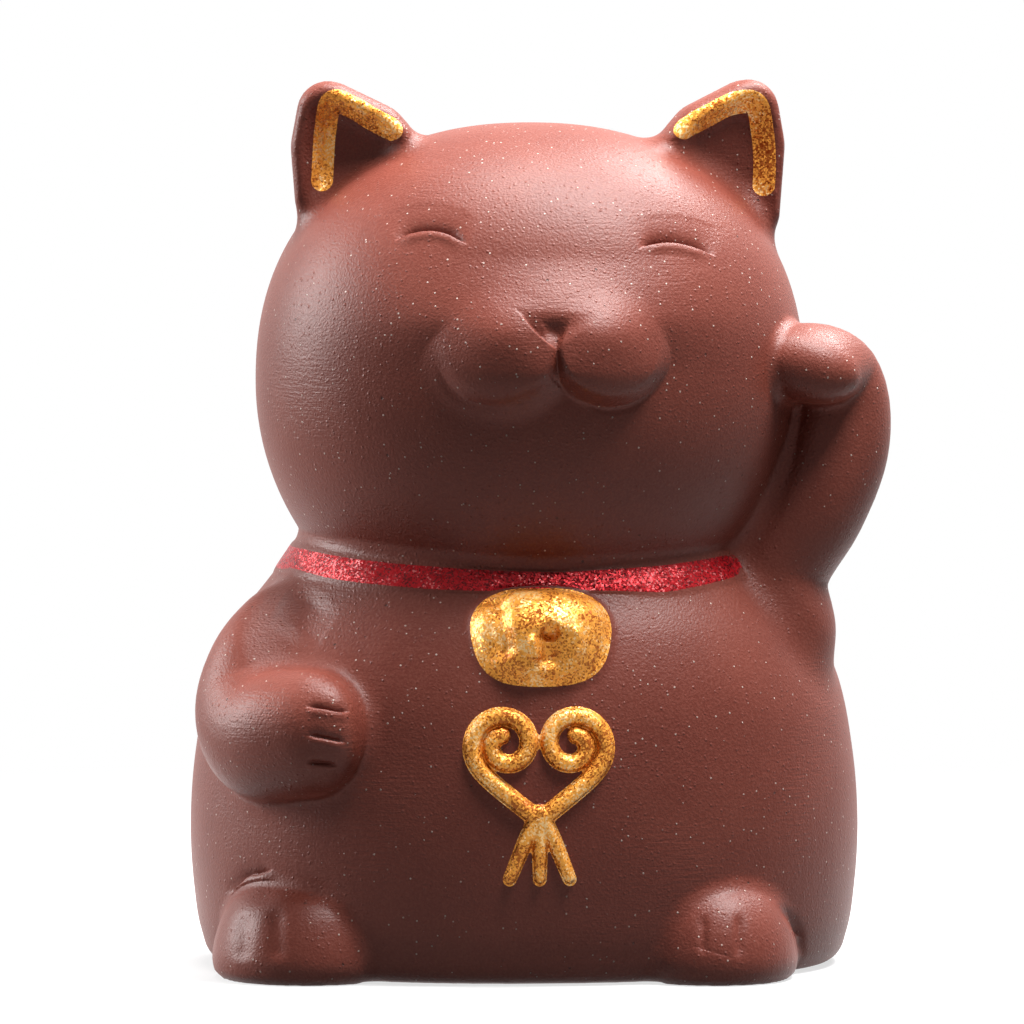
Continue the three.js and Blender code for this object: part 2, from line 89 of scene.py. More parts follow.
# Limbs: turn round from the face in degrees, height above the neck joint, distance out from the clay there,
# then the half thickness away from the clay and the half width along it
ARM_RESTING = (((-77, -5, -3.5), (-71, -8.2, -2.7), (-67, -11.8, -1.4), (-63, -15.8, -0.9), (-55, -17.8, 0.1),
                (-46, -17.4, 1.1), (-36, -16.9, 1.6), (-30.5, -16.7, 1)),
               ((3.5, 3.6), (4.4, 4.5), (5, 5.2), (5.5, 6.2), (5.6, 6.4), (5.5, 6.2), (5.1, 6), (4.6, 5.8)))
ARM_RAISED = (((70, -16.5, -5.4), (71, -9.5, -2.8), (73, -3.5, 0.3), (75, 3, 3.4), (77, 8.5, 3.5), (77, 13, 3.3),
               (75, 15.6, 2.4), (66, 16.6, 1.9), (56.5, 14.9, 2.6)),
              ((3.6, 4.6), (4.9, 5.8), (5.2, 5.8), (5.4, 5.6), (5.6, 5.6), (5.5, 5.3), (5, 4.6), (5.2, 3.8),
               (5.2, 3)))
PAW_LEAN, PAW_START, PAW_END = 0.32, 0.72, 0.9
TAIL = (((171, -36, -1.6), (180, -35.6, 1.6), (190, -34.4, 2.4), (199, -31, 2.4), (203, -26.6, 1.9)),
        ((3, 3.2), (3.6, 3.8), (3.7, 3.9), (3.6, 3.7), (3, 3.1)))

# Feet: across from the middle, half width, half length, height, reach in front of the clay
FEET = {"foot_left": (16.3, 8.4, 10.8, 10, 7.4), "foot_right": (-22.2, 9, 10.4, 9.9, 8.2)}
FOOT_POWER, FOOT_FULLNESS, SOLE_SHARE, SOLE_EDGE = 2.1, 0.65, 0.88, 2.6

# Ears: inset from the side of the head, rise above the crown and radius of each arc, from the tip round by the
# crown and the outer side, then depth and share of the outline from the back to the floor of the pocket
EAR_ARCS = ((6.4, 1.2, 3), (10.5, -1.6, 3.8), (15.2, -4.6, 2.3), (6.5, -9.8, 3.1), (7.3, -2.2, 4.5))
EAR_OFFSET, EAR_TURN, EAR_AHEAD = 0.65, math.radians(14), 1
EAR_SECTIONS = ((-4.2, 0), (-4.2, 0.3), (-3.6, 0.62), (-2.2, 0.86), (0, 0.98), (1.8, 1), (2.9, 0.94), (3.3, 0.83),
                (1.6, 0.44), (1.5, 0))
EAR_ROOM_FRONT = 4.5

# Gold in the ears: its middle line as the photograph shows it, its half width and the depth of its room
GILDING = {"left": ((23.0, 73.5), (23.15, 76.7), (22.9, 79.9), (22.2, 82.4), (20.3, 82.4), (17.6, 81.1),
                    (14.4, 79.6)),
           "right": ((-19.5, 73.9), (-19.35, 77), (-19.1, 80.1), (-18.4, 82.6), (-16.5, 82), (-14.5, 80.8),
                     (-11.7, 79.5))}
GILT_HALF, GILT_ROOM = 1.08, 1.7

# Bell: across, height and depth sunk in the belly, then its half sizes and how square its front is
BELL_PLACE, BELL_SIZE, BELL_POWER = (-0.4, 32.3, 1.6), (6.5, 4.6, 5), 2.8

NECK_CUT = 41.15  # between body and head
COLLAR_PAINT = 0.25
NOSE_DEPTH, KEYHOLE_DEPTH = 0.7, 0.6


def ease(low, high, value):
    """0 below low and 1 above high, with a soft step between."""
    share = np.clip((value - low) / (high - low), 0, 1)
    return share * share * (3 - 2 * share)


def curve(s, a, b, leaving, arriving):
    """The smooth way from a to b, at the share s of it."""
    return (a * (2 * s**3 - 3 * s**2 + 1) + b * (3 * s**2 - 2 * s**3)
            + leaving * (s**3 - 2 * s**2 + s) + arriving * (s**3 - s**2))


def through(stops, place):
    """Height of the smooth curve through the stops."""
    stop, height = np.array(stops, float).T
    slope = np.diff(height) / np.diff(stop)
    lean = np.concatenate((slope[:1], (slope[1:] + slope[:-1]) / 2, slope[-1:]))
    i = np.clip(np.searchsorted(stop, place, side="right") - 1, 0, len(slope) - 1)
    span = stop[i + 1] - stop[i]
    return curve((place - stop[i]) / span, height[i], height[i + 1], span * lean[i], span * lean[i + 1])


def walked(steps):
    """How far the way has come at the start of each step, and at the end of the last."""
    return np.concatenate(([0], np.cumsum(steps)))


def lengths(line):
    return walked(np.linalg.norm(np.diff(line, axis=0), axis=1))


def between(at, stops, rows):
    """Rows of numbers, read between their stops."""
    return np.column_stack([np.interp(at, stops, column) for column in rows.T])


def rounded(value, power):
    return np.sign(value) * np.abs(value) ** (2 / power)


def plan(angle, section, power):
    """A point of a level section: an ellipse made squarer, with its own depth in front and behind."""
    half_width, front, back = section
    away = rounded(np.sin(angle), power)
    return half_width * rounded(np.cos(angle), power), away * np.where(away < 0, front, back)


def body_section(level, grow=0.0):
    share = through(BODY_OUTLINE, np.clip(level / BODY_HEIGHT, 0, 1))
    return [size * share + grow for size in (BODY_HALF_WIDTH, BODY_FRONT, BODY_BACK)]


def head_section(up, out=0.0):
    h = up - HEAD_DROP
    share = np.where(h > 0, np.clip(1 - (np.abs(h) / HEAD_RISE) ** HEAD_POWER, 0, 1) ** (1 / HEAD_POWER),
                     np.sqrt(np.clip(1 - (h / HEAD_LOWER_RADIUS) ** 2, 0, 1)))
    return [size * share + out for size in (HEAD_HALF_WIDTH, HEAD_FRONT, HEAD_BACK)]


def belly_y(x, z):
    """How far forward the belly lies, straight ahead of a point."""
    half_width, front, _ = body_section(np.asarray(z, float))
    return -front * (1 - np.abs(x / half_width) ** BODY_POWER) ** (1 / BODY_POWER)


def mesh_of(bm, name="form"):
    mesh = bpy.data.meshes.new(name)
    bm.to_mesh(mesh)
    bm.free()
    return mesh


def read(items, key, width=1, kind=np.int32):
    """One property of a mesh's points, edges, faces or corners, with a row for each."""
    values = np.empty(len(items) * width, kind)
    items.foreach_get(key, values)
    return values.reshape(-1, width) if width > 1 else values


def coords(mesh):
    return read(mesh.vertices, "co", 3, np.float32).astype(float)


def normals_of(mesh):
    return read(mesh.vertex_normals, "vector", 3, np.float32).astype(float)


def set_coords(mesh, co):
    mesh.vertices.foreach_set("co", co.astype(np.float32).ravel())
    mesh.update()


def tree_of(mesh):
    bm = bmesh.new()
    bm.from_mesh(mesh)
    tree = BVHTree.FromBMesh(bm)
    bm.free()
    return tree


def shaped(place, around=96, rows=64):
    """A ball whose points are put in place by their angle round it and down from its top."""
    bm = bmesh.new()
    bmesh.ops.create_uvsphere(bm, u_segments=around, v_segments=rows, radius=1)
    mesh = mesh_of(bm)
    unit = coords(mesh)
    set_coords(mesh, place(np.arctan2(unit[:, 1], unit[:, 0]), np.arccos(np.clip(unit[:, 2], -1, 1))))
    return mesh


def body_form(grow=0.0, low=0.0, high=BODY_HEIGHT):
    cap = 0.12 * math.pi

    def place(angle, down):
        level = high + (low - high) * np.clip((down - cap) / (math.pi - 2 * cap), 0, 1)
        drawn = np.clip(np.minimum(down, math.pi - down) / cap, 0, 1)
        x, y = plan(angle, body_section(level, grow), BODY_POWER)
        return np.column_stack((x * drawn, y * drawn, level))
    return shaped(place, 128, 96)


def head_form(grow=0.0):
    def place(angle, down):
        lower = np.cos(down) < 0
        rise = np.where(lower, (HEAD_LOWER_RADIUS + grow) * np.cos(down),
                        (HEAD_RISE + grow) * rounded(np.cos(down), HEAD_POWER))
        share = np.where(lower, np.sin(down), rounded(np.sin(down), HEAD_POWER))
        section = [(size + grow) * share for size in (HEAD_HALF_WIDTH, HEAD_FRONT, HEAD_BACK)]
        x, y = plan(angle, section, HEAD_PLAN_POWER)
        return np.column_stack((x, y, HEAD_DROP + rise)) + HEAD_PLACE
    return shaped(place, 128, 96)


def beside_clay(turn, up, out):
    """A point beside the body or head: round from the face, above the neck joint, out from the clay."""
    angle = math.radians(turn - 90)
    if up < 0:
        x, y = plan(angle, body_section(BODY_HEIGHT + up, out), BODY_POWER)
        return float(x), float(y), BODY_HEIGHT + up
    x, y = plan(angle, head_section(up, out), HEAD_PLAN_POWER)
    return float(x) + HEAD_PLACE[0], float(y), HEAD_PLACE[2] + up


def smooth_line(points, count=200):
    """Even steps along a smooth curve through the points."""
    p = np.array(points, float)
    p = np.vstack((2 * p[0] - p[1], p, 2 * p[-1] - p[-2]))
    knot = walked(np.sqrt(np.linalg.norm(np.diff(p, axis=0), axis=1)))
    fine = []
    for i in range(1, len(p) - 2):
        a, b, c = np.diff(knot[i - 1:i + 3])
        start = ((p[i] - p[i - 1]) / a - (p[i + 1] - p[i - 1]) / (a + b) + (p[i + 1] - p[i]) / b) * b
        end = ((p[i + 1] - p[i]) / b - (p[i + 2] - p[i]) / (b + c) + (p[i + 2] - p[i + 1]) / c) * b
        s = np.linspace(0, 1, 24, endpoint=False)[:, None]
        fine.append(curve(s, p[i], p[i + 1], start, end))
    line = np.vstack((*fine, p[-2]))
    length = lengths(line)
    return between(np.linspace(0, length[-1], count), length, line), length[-1]


def from_axis(line):
    return line * (1, 1, 0)


def towards(*way):
    """Outwards the same way all along a line."""
    return lambda line: np.tile(way, (len(line), 1))


def rod(points, girth, grow=0.0, outward=from_axis, around=32, rows=64):
    """A rod with rounded ends along a line. Its girth holds half thicknesses outwards and half widths along."""
    line, length = smooth_line(points)
    tangent = np.gradient(line, axis=0)
    tangent /= np.linalg.norm(tangent, axis=1)[:, None]
    out = outward(line)
    out = out - tangent * np.sum(out * tangent, axis=1)[:, None]
    out /= np.linalg.norm(out, axis=1)[:, None]
    side = np.cross(tangent, out)
    at = np.linspace(0, 1, len(line))
    spread = np.linspace(0, 1, len(girth))
    halves = [through(list(zip(spread, half)), at) + grow for half in zip(*girth)]

    def place(angle, down):
        t = (1 - np.cos(down)) / 2
        middle, outwards, sideways = (between(t, at, rows) for rows in (line, out, side))
        thick, wide = (np.interp(t, at, half) for half in halves)
        to_end = np.clip(np.minimum(t, 1 - t) * length / np.minimum(thick, wide), 0, 1)
        share = np.sqrt(1 - (1 - to_end) ** 2)
        return (middle + outwards * (thick * share * np.cos(angle))[:, None]
                - sideways * (wide * share * np.sin(angle))[:, None])
    return shaped(place, around, rows)


def paw_leaning(line):
    """Outwards, and at the raised paw down as well, so that its top slopes away from the head."""
    lean = np.linalg.norm(line[:, :2], axis=1) * PAW_LEAN * ease(PAW_START, PAW_END, np.linspace(0, 1, len(line)))
    return from_axis(line) - np.outer(lean, (0, 0, 1))


def limb(shape, grow=0.0, outward=from_axis):
    line, girth = shape
    return rod([beside_clay(*stop) for stop in line], girth, grow, outward)


def foot_form(across, half_width, half_length, height, reach, grow=0.0):
    y = float(belly_y(across, 0)) - reach + half_length

    def place(angle, down):
        turn = math.pi / 2 - np.minimum(down, math.pi / 2)
        z = (height + grow) * np.sin(turn)
        edge = np.sqrt(1 - (1 - np.clip(z / SOLE_EDGE, 0, 1)) ** 2)
        share = np.cos(turn) ** FOOT_FULLNESS * (SOLE_SHARE + (1 - SOLE_SHARE) * edge)
        share = np.where(down > math.pi / 2, SOLE_SHARE * np.sin(down) ** FOOT_FULLNESS, share)
        section = [(size + grow) * share for size in (half_width, half_length, half_length)]
        x, away = plan(angle, section, FOOT_POWER)
        return np.column_stack((across + x, y + away, np.where(down > math.pi / 2, -grow, z)))
    return shaped(place, 48, 48)


def ear_frame(side):
    """The outline of an ear, seen from its front, and the way from there to the figure."""
    arcs = [np.array((EAR_OFFSET + side * (HEAD_HALF_WIDTH - inset), HEAD_DROP + HEAD_RISE + rise, radius))
            for inset, rise, radius in (EAR_ARCS if side > 0 else EAR_ARCS[:1] + EAR_ARCS[:0:-1])]

    def leaving(arc, after):
        way = after - arc
        return math.atan2(way[1], way[0]) - math.pi / 2 - math.asin(way[2] / np.hypot(*way[:2]))
    outline = []
    for i, (x, z, radius) in enumerate(arcs):
        start, end = leaving(arcs[i - 1], arcs[i]), leaving(arcs[i], arcs[(i + 1) % len(arcs)])
        while end < start:
            end += 2 * math.pi
        for angle in np.linspace(start, end, 16):
            outline.append((x + radius * math.cos(angle), z + radius * math.sin(angle)))
    outline = np.array(outline + outline[:1])
    length = lengths(outline)
    middle = outline[:-1].mean(axis=0)

    def edge(share):
        return between(share % 1 * length[-1], length, outline) - middle

    def to_figure(across, up, depth):
        turn = side * EAR_TURN
        return np.column_stack((middle[0] + across * math.cos(turn) + depth * math.sin(turn),
                                across * math.sin(turn) - depth * math.cos(turn) - EAR_AHEAD,
                                middle[1] + up)) + HEAD_PLACE
    return edge, to_figure


def ear_form(side, grow=0.0):
    edge, to_figure = ear_frame(side)
    depths, shares = np.array(EAR_SECTIONS[::-1]).T
    way = walked(np.hypot(np.diff(depths), 8 * np.diff(shares)))

    def place(angle, down):
        at = down / math.pi * way[-1]
        depth, share = np.interp(at, way, depths), np.interp(at, way, shares)
        if grow:
            depth = np.where(depth > 0.5, EAR_ROOM_FRONT, depth - grow)
        rim = edge(angle / (2 * math.pi))
        size = np.linalg.norm(rim, axis=1)
        rim *= ((size * share + grow * (share > 0.2)) / size)[:, None]
        return to_figure(rim[:, 0], rim[:, 1], depth)
    return shaped(place, 96, 72)


def gilding_form(name):
    """The room for the gold in an ear: a brush stroke up one side of its pocket and down the other."""
    tree = tree_of(FORMS["ear_" + name][0]())
    line = smooth_line([(x, z, 0) for x, z in GILDING[name]], 24)[0]
    points = [hit for hit in (tree.ray_cast(View.eye, View.sight(x, z))[0] for x, z, _ in line) if hit]
    return rod(points, [(GILT_ROOM, GILT_HALF)] * 7, 0, towards(0.0, -1.0, 0.35), 24, 120)


def bell_form(grow=0.0):
    def place(angle, down):
        unit = np.column_stack((np.cos(angle) * np.sin(down), np.sin(angle) * np.sin(down), np.cos(down)))
        across, up = np.abs(unit[:, 0]), np.abs(unit[:, 2])
        squarer = (np.hypot(across, up) + 1e-9) / ((across**BELL_POWER + up**BELL_POWER) ** (1 / BELL_POWER) + 1e-9)
        unit[:, 0] *= squarer
        unit[:, 2] *= squarer
        return unit * (np.array(BELL_SIZE) + grow) + bell_middle()
    return shaped(place, 64, 48)


def box_form(low, high):
    bm = bmesh.new()
    bmesh.ops.create_cube(bm, size=1)
    low, high = np.array(low, float), np.array(high, float)
    bmesh.ops.scale(bm, verts=bm.verts, vec=high - low)
    bmesh.ops.translate(bm, verts=bm.verts, vec=(low + high) / 2)
    return mesh_of(bm)


def bell_middle():
    across, level, sunk = BELL_PLACE
    return across, float(belly_y(across, level)) + sunk, level


class Bench:
    """Holds the moulded clay, in millimetres, while its pieces are parted from it."""

    def __init__(self):
        self.shelf = bpy.data.collections.new("bench")
        bpy.context.scene.collection.children.link(self.shelf)
        self.slots = [bpy.data.materials.new(name) for name in ("skin", "cut")]
        self.clay = self.head = None

    def put(self, mesh, name):
        if not mesh.materials:
            for slot in self.slots:
                mesh.materials.append(slot)
            mesh.polygons.foreach_set("material_index", np.ones(len(mesh.polygons), np.int32))
        made = bpy.data.objects.new(name, mesh)
        self.shelf.objects.link(made)
        return made

    def finished(self, made):
        depsgraph = bpy.context.evaluated_depsgraph_get()
        mesh = bpy.data.meshes.new_from_object(made.evaluated_get(depsgraph))
        made.modifiers.clear()
        return mesh

    def combine(self, made, tool, operation):
        """A new mesh: made and the tool together, or what they share, or made without the tool."""
        for solver in ("MANIFOLD", "EXACT"):
            change = made.modifiers.new("cut", "BOOLEAN")
            change.operation, change.solver, change.object = operation, solver, tool
            mesh = self.finished(made)
            if len(mesh.polygons):
                return mesh
        raise RuntimeError(f"{made.name} and {tool.name} have nothing left after {operation.lower()}")

    def change(self, made, tool, operation):
        made.data = self.combine(made, tool, operation)
        return made

    def remesh(self, forms, voxel, name, cut=True):
        """The forms as one even skin."""
        joined = bmesh.new()
        for form in forms:
            joined.from_mesh(form)
        made = self.put(mesh_of(joined), name)
        change = made.modifiers.new("skin", "REMESH")
        change.mode, change.voxel_size = "VOXEL", voxel
        made.data = self.finished(made)
        made.data.polygons.foreach_set("material_index", np.full(len(made.data.polygons), int(cut), np.int32))
        return made

    def part(self, source, tool, name):
        """Parts off what the tool takes in, and leaves the rest."""
        piece = self.put(self.combine(source, tool, "INTERSECT"), name)
        self.change(source, tool, "DIFFERENCE")
        return piece

    def learn_flow(self, mesh):
        """Keeps the whole skin's soft normals, for the pieces' seams."""
        self.tree, self.flow, self.co = tree_of(mesh), normals_of(mesh), coords(mesh)
        self.corners = [tuple(p.vertices) for p in mesh.polygons]


def relax(mesh, weight, rounds):
    """Draws each point towards the middle of its neighbours, by its weight."""
    a, b = read(mesh.edges, "vertices", 2).T
    near = (weight[a] > 0) | (weight[b] > 0)
    a, b = a[near], b[near]
    used, index = np.unique(np.concatenate((a, b)), return_inverse=True)
    a, b = index[:len(a)], index[len(a):]
    co = coords(mesh)
    part = co[used]
    count = np.bincount(a, minlength=len(used)) + np.bincount(b, minlength=len(used))
    pull = (weight[used] * 0.6)[:, None]
    for _ in range(rounds):
        total = np.column_stack([np.bincount(a, part[b, k], len(used)) + np.bincount(b, part[a, k], len(used))
                                 for k in range(3)])
        part += pull * (total / count[:, None] - part)
    co[used] = part
    set_coords(mesh, co)


def distance_to(form, co, reach):
    """How far points are from a form, as far as reach."""
    tree, box = tree_of(form), coords(form)
    found = np.full(len(co), reach)
    close = np.all((co > box.min(0) - reach) & (co < box.max(0) + reach), axis=1).nonzero()[0]
    for i in close:
        hit = tree.find_nearest(co[i], reach)
        if hit[3] is not None:
            found[i] = hit[3]
    return found


class View:
    """The view that the photograph gives, for the camera and for the places of small marks."""
    azimuth, elevation, distance = math.radians(-5), math.radians(4), 1600
    pixels, pixel = 1024, 0.0962
    foot = -12 * pixel, 448 * pixel  # the middle of the picture, across and up from the figure's foot point
    right = np.array((math.cos(azimuth), math.sin(azimuth), 0))
    ahead = np.array((-math.sin(azimuth) * math.cos(elevation), math.cos(azimuth) * math.cos(elevation),
                      -math.sin(elevation)))
    upward = np.cross(right, ahead)
    aim = foot[0] * right + foot[1] * upward
    eye = aim - distance * ahead

    @classmethod
    def seen(cls, co):
        """Millimetres to the right of the figure's foot point and above it, as seen by the camera."""
        way = co - cls.eye
        scale = cls.distance / (way @ cls.ahead)
        return np.column_stack((way @ cls.right * scale, way @ cls.upward * scale)) + cls.foot

    @classmethod
    def sight(cls, x, z):
        """The way from the camera through a point of the view."""
        aimed = cls.aim + (x - cls.foot[0]) * cls.right + (z - cls.foot[1]) * cls.upward - cls.eye
        return Vector(aimed / np.linalg.norm(aimed))


class Stroke:
    """A pressed line: from one side the clay sinks to it softly, and on the other side it ends in a step."""

    def __init__(self, piece, points, depth, soft, sharp=0.14, lift=0.0, taper=0.2):
        self.piece, self.depth, self.soft, self.sharp, self.lift, self.taper = piece, depth, soft, sharp, lift, taper
        flat = [(x, z, 0) for x, z in points]
        self.line = smooth_line(flat, 40)[0][:, :2] if len(points) > 2 else np.linspace(points[0], points[-1], 12)

    def measure(self, flat):
        """Distance to the line, above 0 on its left, and the share of its length."""
        start, way = self.line[:-1], np.diff(self.line, axis=0)
        best = np.full(len(flat), 1e9)
        signed, share = np.zeros(len(flat)), np.zeros(len(flat))
        for i, (s, w) in enumerate(zip(start, way)):
            rel = flat - s
            along = np.clip(rel @ w / (w @ w), 0, 1)
            gap = rel - along[:, None] * w
            far = np.hypot(*gap.T)
            nearer = far < best
            side = np.sign(w[0] * rel[:, 1] - w[1] * rel[:, 0])
            best = np.where(nearer, far, best)
            signed = np.where(nearer, far * np.where(side == 0, 1, side), signed)
            share = np.where(nearer, (i + along) / len(way), share)
        return signed, share

    def strength(self, share):
        """1 along the line, and less towards its ends."""
        return ease(0, self.taper, share) * ease(0, self.taper, 1 - share)

    def press(self, flat):
        """How far the clay goes in, at points of the view."""
        gap, share = self.measure(flat)
        sunk = np.where(gap >= 0, np.exp(-gap / self.soft), 1 - ease(0, self.sharp, -gap))
        raised = self.lift * np.exp(-((gap + 0.5) / 0.45) ** 2) * (gap < 0)
        return self.strength(share) * (self.depth * sunk - raised)


class Valley(Stroke):
    """A soft hollow along a line, or a ridge where its depth is below 0."""

    def __init__(self, piece, points, depth, soft, taper=0.4):
        super().__init__(piece, points, depth, soft, taper=taper)

    def press(self, flat):
        gap, share = self.measure(flat)
        return self.strength(share) * self.depth * np.exp(-(gap / self.soft) ** 2)


# Collar: turn round from the face, height of its middle and its half width
COLLAR = ((117, 38.7, 1.4), (140, 38.7, 1.5), (180, 38.7, 1.5), (220, 38.7, 1.5), (262, 38.9, 1.5), (285, 39.2, 1.35),
          (305, 38.9, 1.35), (330, 38.4, 1.35), (350, 38.1, 1.2), (362, 38.0, 1.05), (375, 38.1, 1.3),
          (388, 38.1, 1.65), (400, 38.5, 1.55), (410, 38.9, 1.5), (417, 39, 1.4))

# Marks: lines in the view, across and up from the figure's foot point
EYES = (((-12.6, 69.1), (-11.93, 69.55), (-10.68, 70.03), (-8.8, 70.24), (-7.34, 69.93), (-6.29, 69.4),
         (-5.25, 68.78)),
        ((10.92, 68.36), (11.65, 68.78), (12.7, 69.02), (14.15, 69.11), (15.61, 68.86), (17.08, 68.4),
         (18.6, 67.7)))
LIP_RIGHT = ((2.95, 58.9), (2.5, 57.5), (2.69, 56.28), (3.46, 55.41), (4.76, 54.59), (6.16, 53.68),
             (7.48, 52.91), (8.85, 52.86), (10.2, 53.13), (11.35, 53.68), (12.27, 54.38), (13.08, 55.41),
             (13.73, 56.66), (14.05, 58.39))
LIP_LEFT = ((-7.79, 58.68), (-7.89, 56.95), (-7.5, 55.6), (-6.64, 54.55), (-5.39, 53.78), (-3.75, 53.39),
            (-1.83, 53.49), (0.1, 54.16), (1.83, 55.32), (2.6, 56.18))
NOSE = ((-0.38, 62.14), (0.48, 61.09), (1.44, 60.03), (2.89, 58.78))
FINGERS = (((-21.16, 24.43), (-19.43, 24.28), (-17.8, 23.97), (-16.55, 23.9)),
           ((-21.01, 21.67), (-19.34, 21.36), (-18.18, 21.12), (-17.03, 20.9)),
           ((-21.01, 19.05), (-19.43, 18.81), (-17.8, 18.66)))
WRINKLE = ((-28.57, 6.08), (-27.8, 6.93), (-27.16, 7.57), (-26.5, 8.15), (-25.59, 8.32), (-24.68, 8.56),
           (-24.01, 8.9))
CREASE = ((23.05, 5.92), (23.95, 5.24), (24.87, 4.43), (25.59, 3.66), (26.36, 2.76), (27.19, 1.77))

STROKES = (
    *(Stroke("head", line, depth, soft, 0.14, lift, 0.3) for line in EYES
      for depth, soft, lift in ((0.55, 1.1, 0.16), (0.5, 0.28, 0))),
    Stroke("head", LIP_RIGHT, 0.1, 0.9, 0.5, 0, 0.3),
    Stroke("head", LIP_LEFT, 0.12, 1, 0.9, 0, 0.25),
    *(Stroke("arm_resting", line, 0.42, 0.35, 0.2, 0.12, 0.25) for line in FINGERS),
    Stroke("body", WRINKLE, 0.5, 0.5, 0.2, 0.25, 0.25),
    Stroke("body", CREASE, 0.4, 0.4, 0.18, 0.15, 0.3),
    Valley("foot_left", ((17.25, 4.6), (17.22, 0.2)), 0.2, 0.45, 0.3),
    Valley("foot_left", ((20.73, 4.8), (20.68, -0.2)), 0.24, 0.45, 0.3),
    Stroke("foot_left", ((15.76, 1.44), (20.39, 0.12)), 0.05, 0.12, 0.12, 0.02, 0.2),
    Valley("foot_right", ((-26.9, 4.8), (-27.1, -0.4)), 0.2, 0.8, 0.25),
    Valley("foot_right", ((-23.8, 5.4), (-23.7, -0.4)), 0.24, 0.8, 0.25),
    Valley("", ((-27.2, 5.1), (-25.9, 6.3), (-23.8, 6.9), (-21.4, 6.9), (-19.1, 6.1), (-17.8, 4.6)), 0.35, 1, 0.3),
    Valley("", ((24.2, 5.6), (25.6, 4.1), (26.5, 2.2), (26.7, -0.2)), 0.35, 0.4, 0.3),
    Valley("", ((-19.4, 35.6), (-21, 33.2), (-22.6, 30.4)), 0.3, 2, 0.35),
    Valley("bell", ((-2.5, 35.8), (-2.5, 32), (-1.6, 28.6)), 0.9, 1.1, 0.2),
    Valley("bell", ((2.5, 32.2), (2.5, 30), (2.2, 27.6)), 1.1, 1.4, 0.25),
    Valley("bell", ((0.8, 31.6), (1, 30.2), (1.6, 28.2)), -0.6, 0.5, 0.3),
    Valley("bell", ((4.6, 32.4), (5.2, 31), (5, 28.8)), -0.3, 0.5, 0.3),
)


def face_relief(x, up):
    """How far the face stands in front of the plain head: a soft crest above two full lips."""
    across = x - 0.2
    crest = 2.3 * np.exp(-((across / 10.5) ** 2)) * ease(28, 20.5, up) * ease(9, 17, up)
    lips = []
    for middle, half, height, power, fall in ((-5.4, 6, 0.85, 1, 1.4), (5.3, 6.2, 1.1, 0.65, 1.08)):
        out = np.hypot((across - middle) / half, (up - 19.3) / 5.8)
        lobe = np.maximum(0, 1 - out**2) ** (power + (2.3 - power) * ease(16.5, 21.5, up))
        lips.append(crest * np.maximum(1 - ease(0.75, fall, out), ease(16.3, 22.3, up)) + height * lobe)
    return np.maximum(*lips)


def nose_pit(flat):
    """Depth of the triangular nose, deepest at its left edge and soft at the top and right."""
    gap, _ = Stroke("head", NOSE, 1, 1).measure(flat)
    top = 62.2 - 0.07 * (flat[:, 0] + 0.38) - flat[:, 1]
    right = (flat[:, 1] - 58.78) * 0.79 - (flat[:, 0] - 2.89) * 0.61
    return ease(0, 0.25, gap) * ease(-0.7, 1.9, top) * ease(-0.5, 1.9, right)


def keyhole(flat):
    """Depth of the bell's opening, above its slit."""
    return ease(1.2, 0.5, np.hypot((flat[:, 0] - 2.6) / 0.95, (flat[:, 1] - 31.6) / 0.95))


def collar_swelling(co):
    """How far the thick paint of the collar stands out from the body."""
    half_width, front, back = body_section(co[:, 2])
    across, away = co[:, 0] / half_width, co[:, 1] / np.where(co[:, 1] < 0, front, back)
    turn = np.degrees(np.arctan2(rounded(away, 4 / BODY_POWER), rounded(across, 4 / BODY_POWER))) + 90
    turn = np.where(turn < COLLAR[0][0], turn + 360, turn)
    turns, levels, halves = np.array(COLLAR).T
    gap = (co[:, 2] - np.interp(turn, turns, levels)) / np.interp(turn, turns, halves)
    return COLLAR_PAINT * np.sqrt(np.clip(1 - gap**2, 0, 1)) * (turn < turns[-1])


def scroll_lines():
    """The ornament's strokes: two curls that meet over a tassel, across and up from its middle."""
    lines = []
    for side in (1, -1):
        wind = [(0, -3)]
        for s in np.linspace(0, 1, 15):
            angle = 2 * math.pi * (0.62 - 1.32 * s)
            radius = 3.35 - 2.4 * s
            wind.append((side * (radius * math.cos(angle) - 3.2), 4.2 + radius * math.sin(angle)))
        lines.append((wind, 0.0))
    for side in (-1, 0, 1):
        lines.append(([(0, -2.2), (side * 1.26, -4.68), (side * 2.8, -8.4)], 0.3))
    return lines


ORNAMENT_PLACE = (-0.9, 18.8)
STROKE_HALF, STROKE_HEIGHT = 0.8, 0.75


def ornament_relief(x, z):
    """Height of the ornament over the belly, at points straight in front of it."""
    flat = np.column_stack((x - ORNAMENT_PLACE[0], z - ORNAMENT_PLACE[1]))
    height = np.zeros(len(flat))
    for points, narrowing in scroll_lines():
        stroke = Stroke("body", points, 1, 1)
        gap, share = stroke.measure(flat)
        half = STROKE_HALF * (1 - narrowing * share)
        height = np.maximum(height, np.sqrt(np.clip(1 - (gap / half) ** 2, 0, 1)) * half / STROKE_HALF)
    return STROKE_HEIGHT * height


FORMS = {
    "body": (body_form, 0.8),
    "head": (head_form, 0.8),
    "arm_raised": (lambda grow=0.0: limb(ARM_RAISED, grow, paw_leaning), 2.4),
    "arm_resting": (lambda grow=0.0: limb(ARM_RESTING, grow), 2.6),
    "foot_left": (lambda grow=0.0: foot_form(*FEET["foot_left"], grow), 0.4),
    "foot_right": (lambda grow=0.0: foot_form(*FEET["foot_right"], grow), 0.6),
    "tail": (lambda grow=0.0: limb(TAIL, grow), 1.6),
    "ear_left": (lambda grow=0.0: ear_form(1, grow), 1.8),
    "ear_right": (lambda grow=0.0: ear_form(-1, grow), 1.8),
    "bell": (bell_form, 0.5),
}


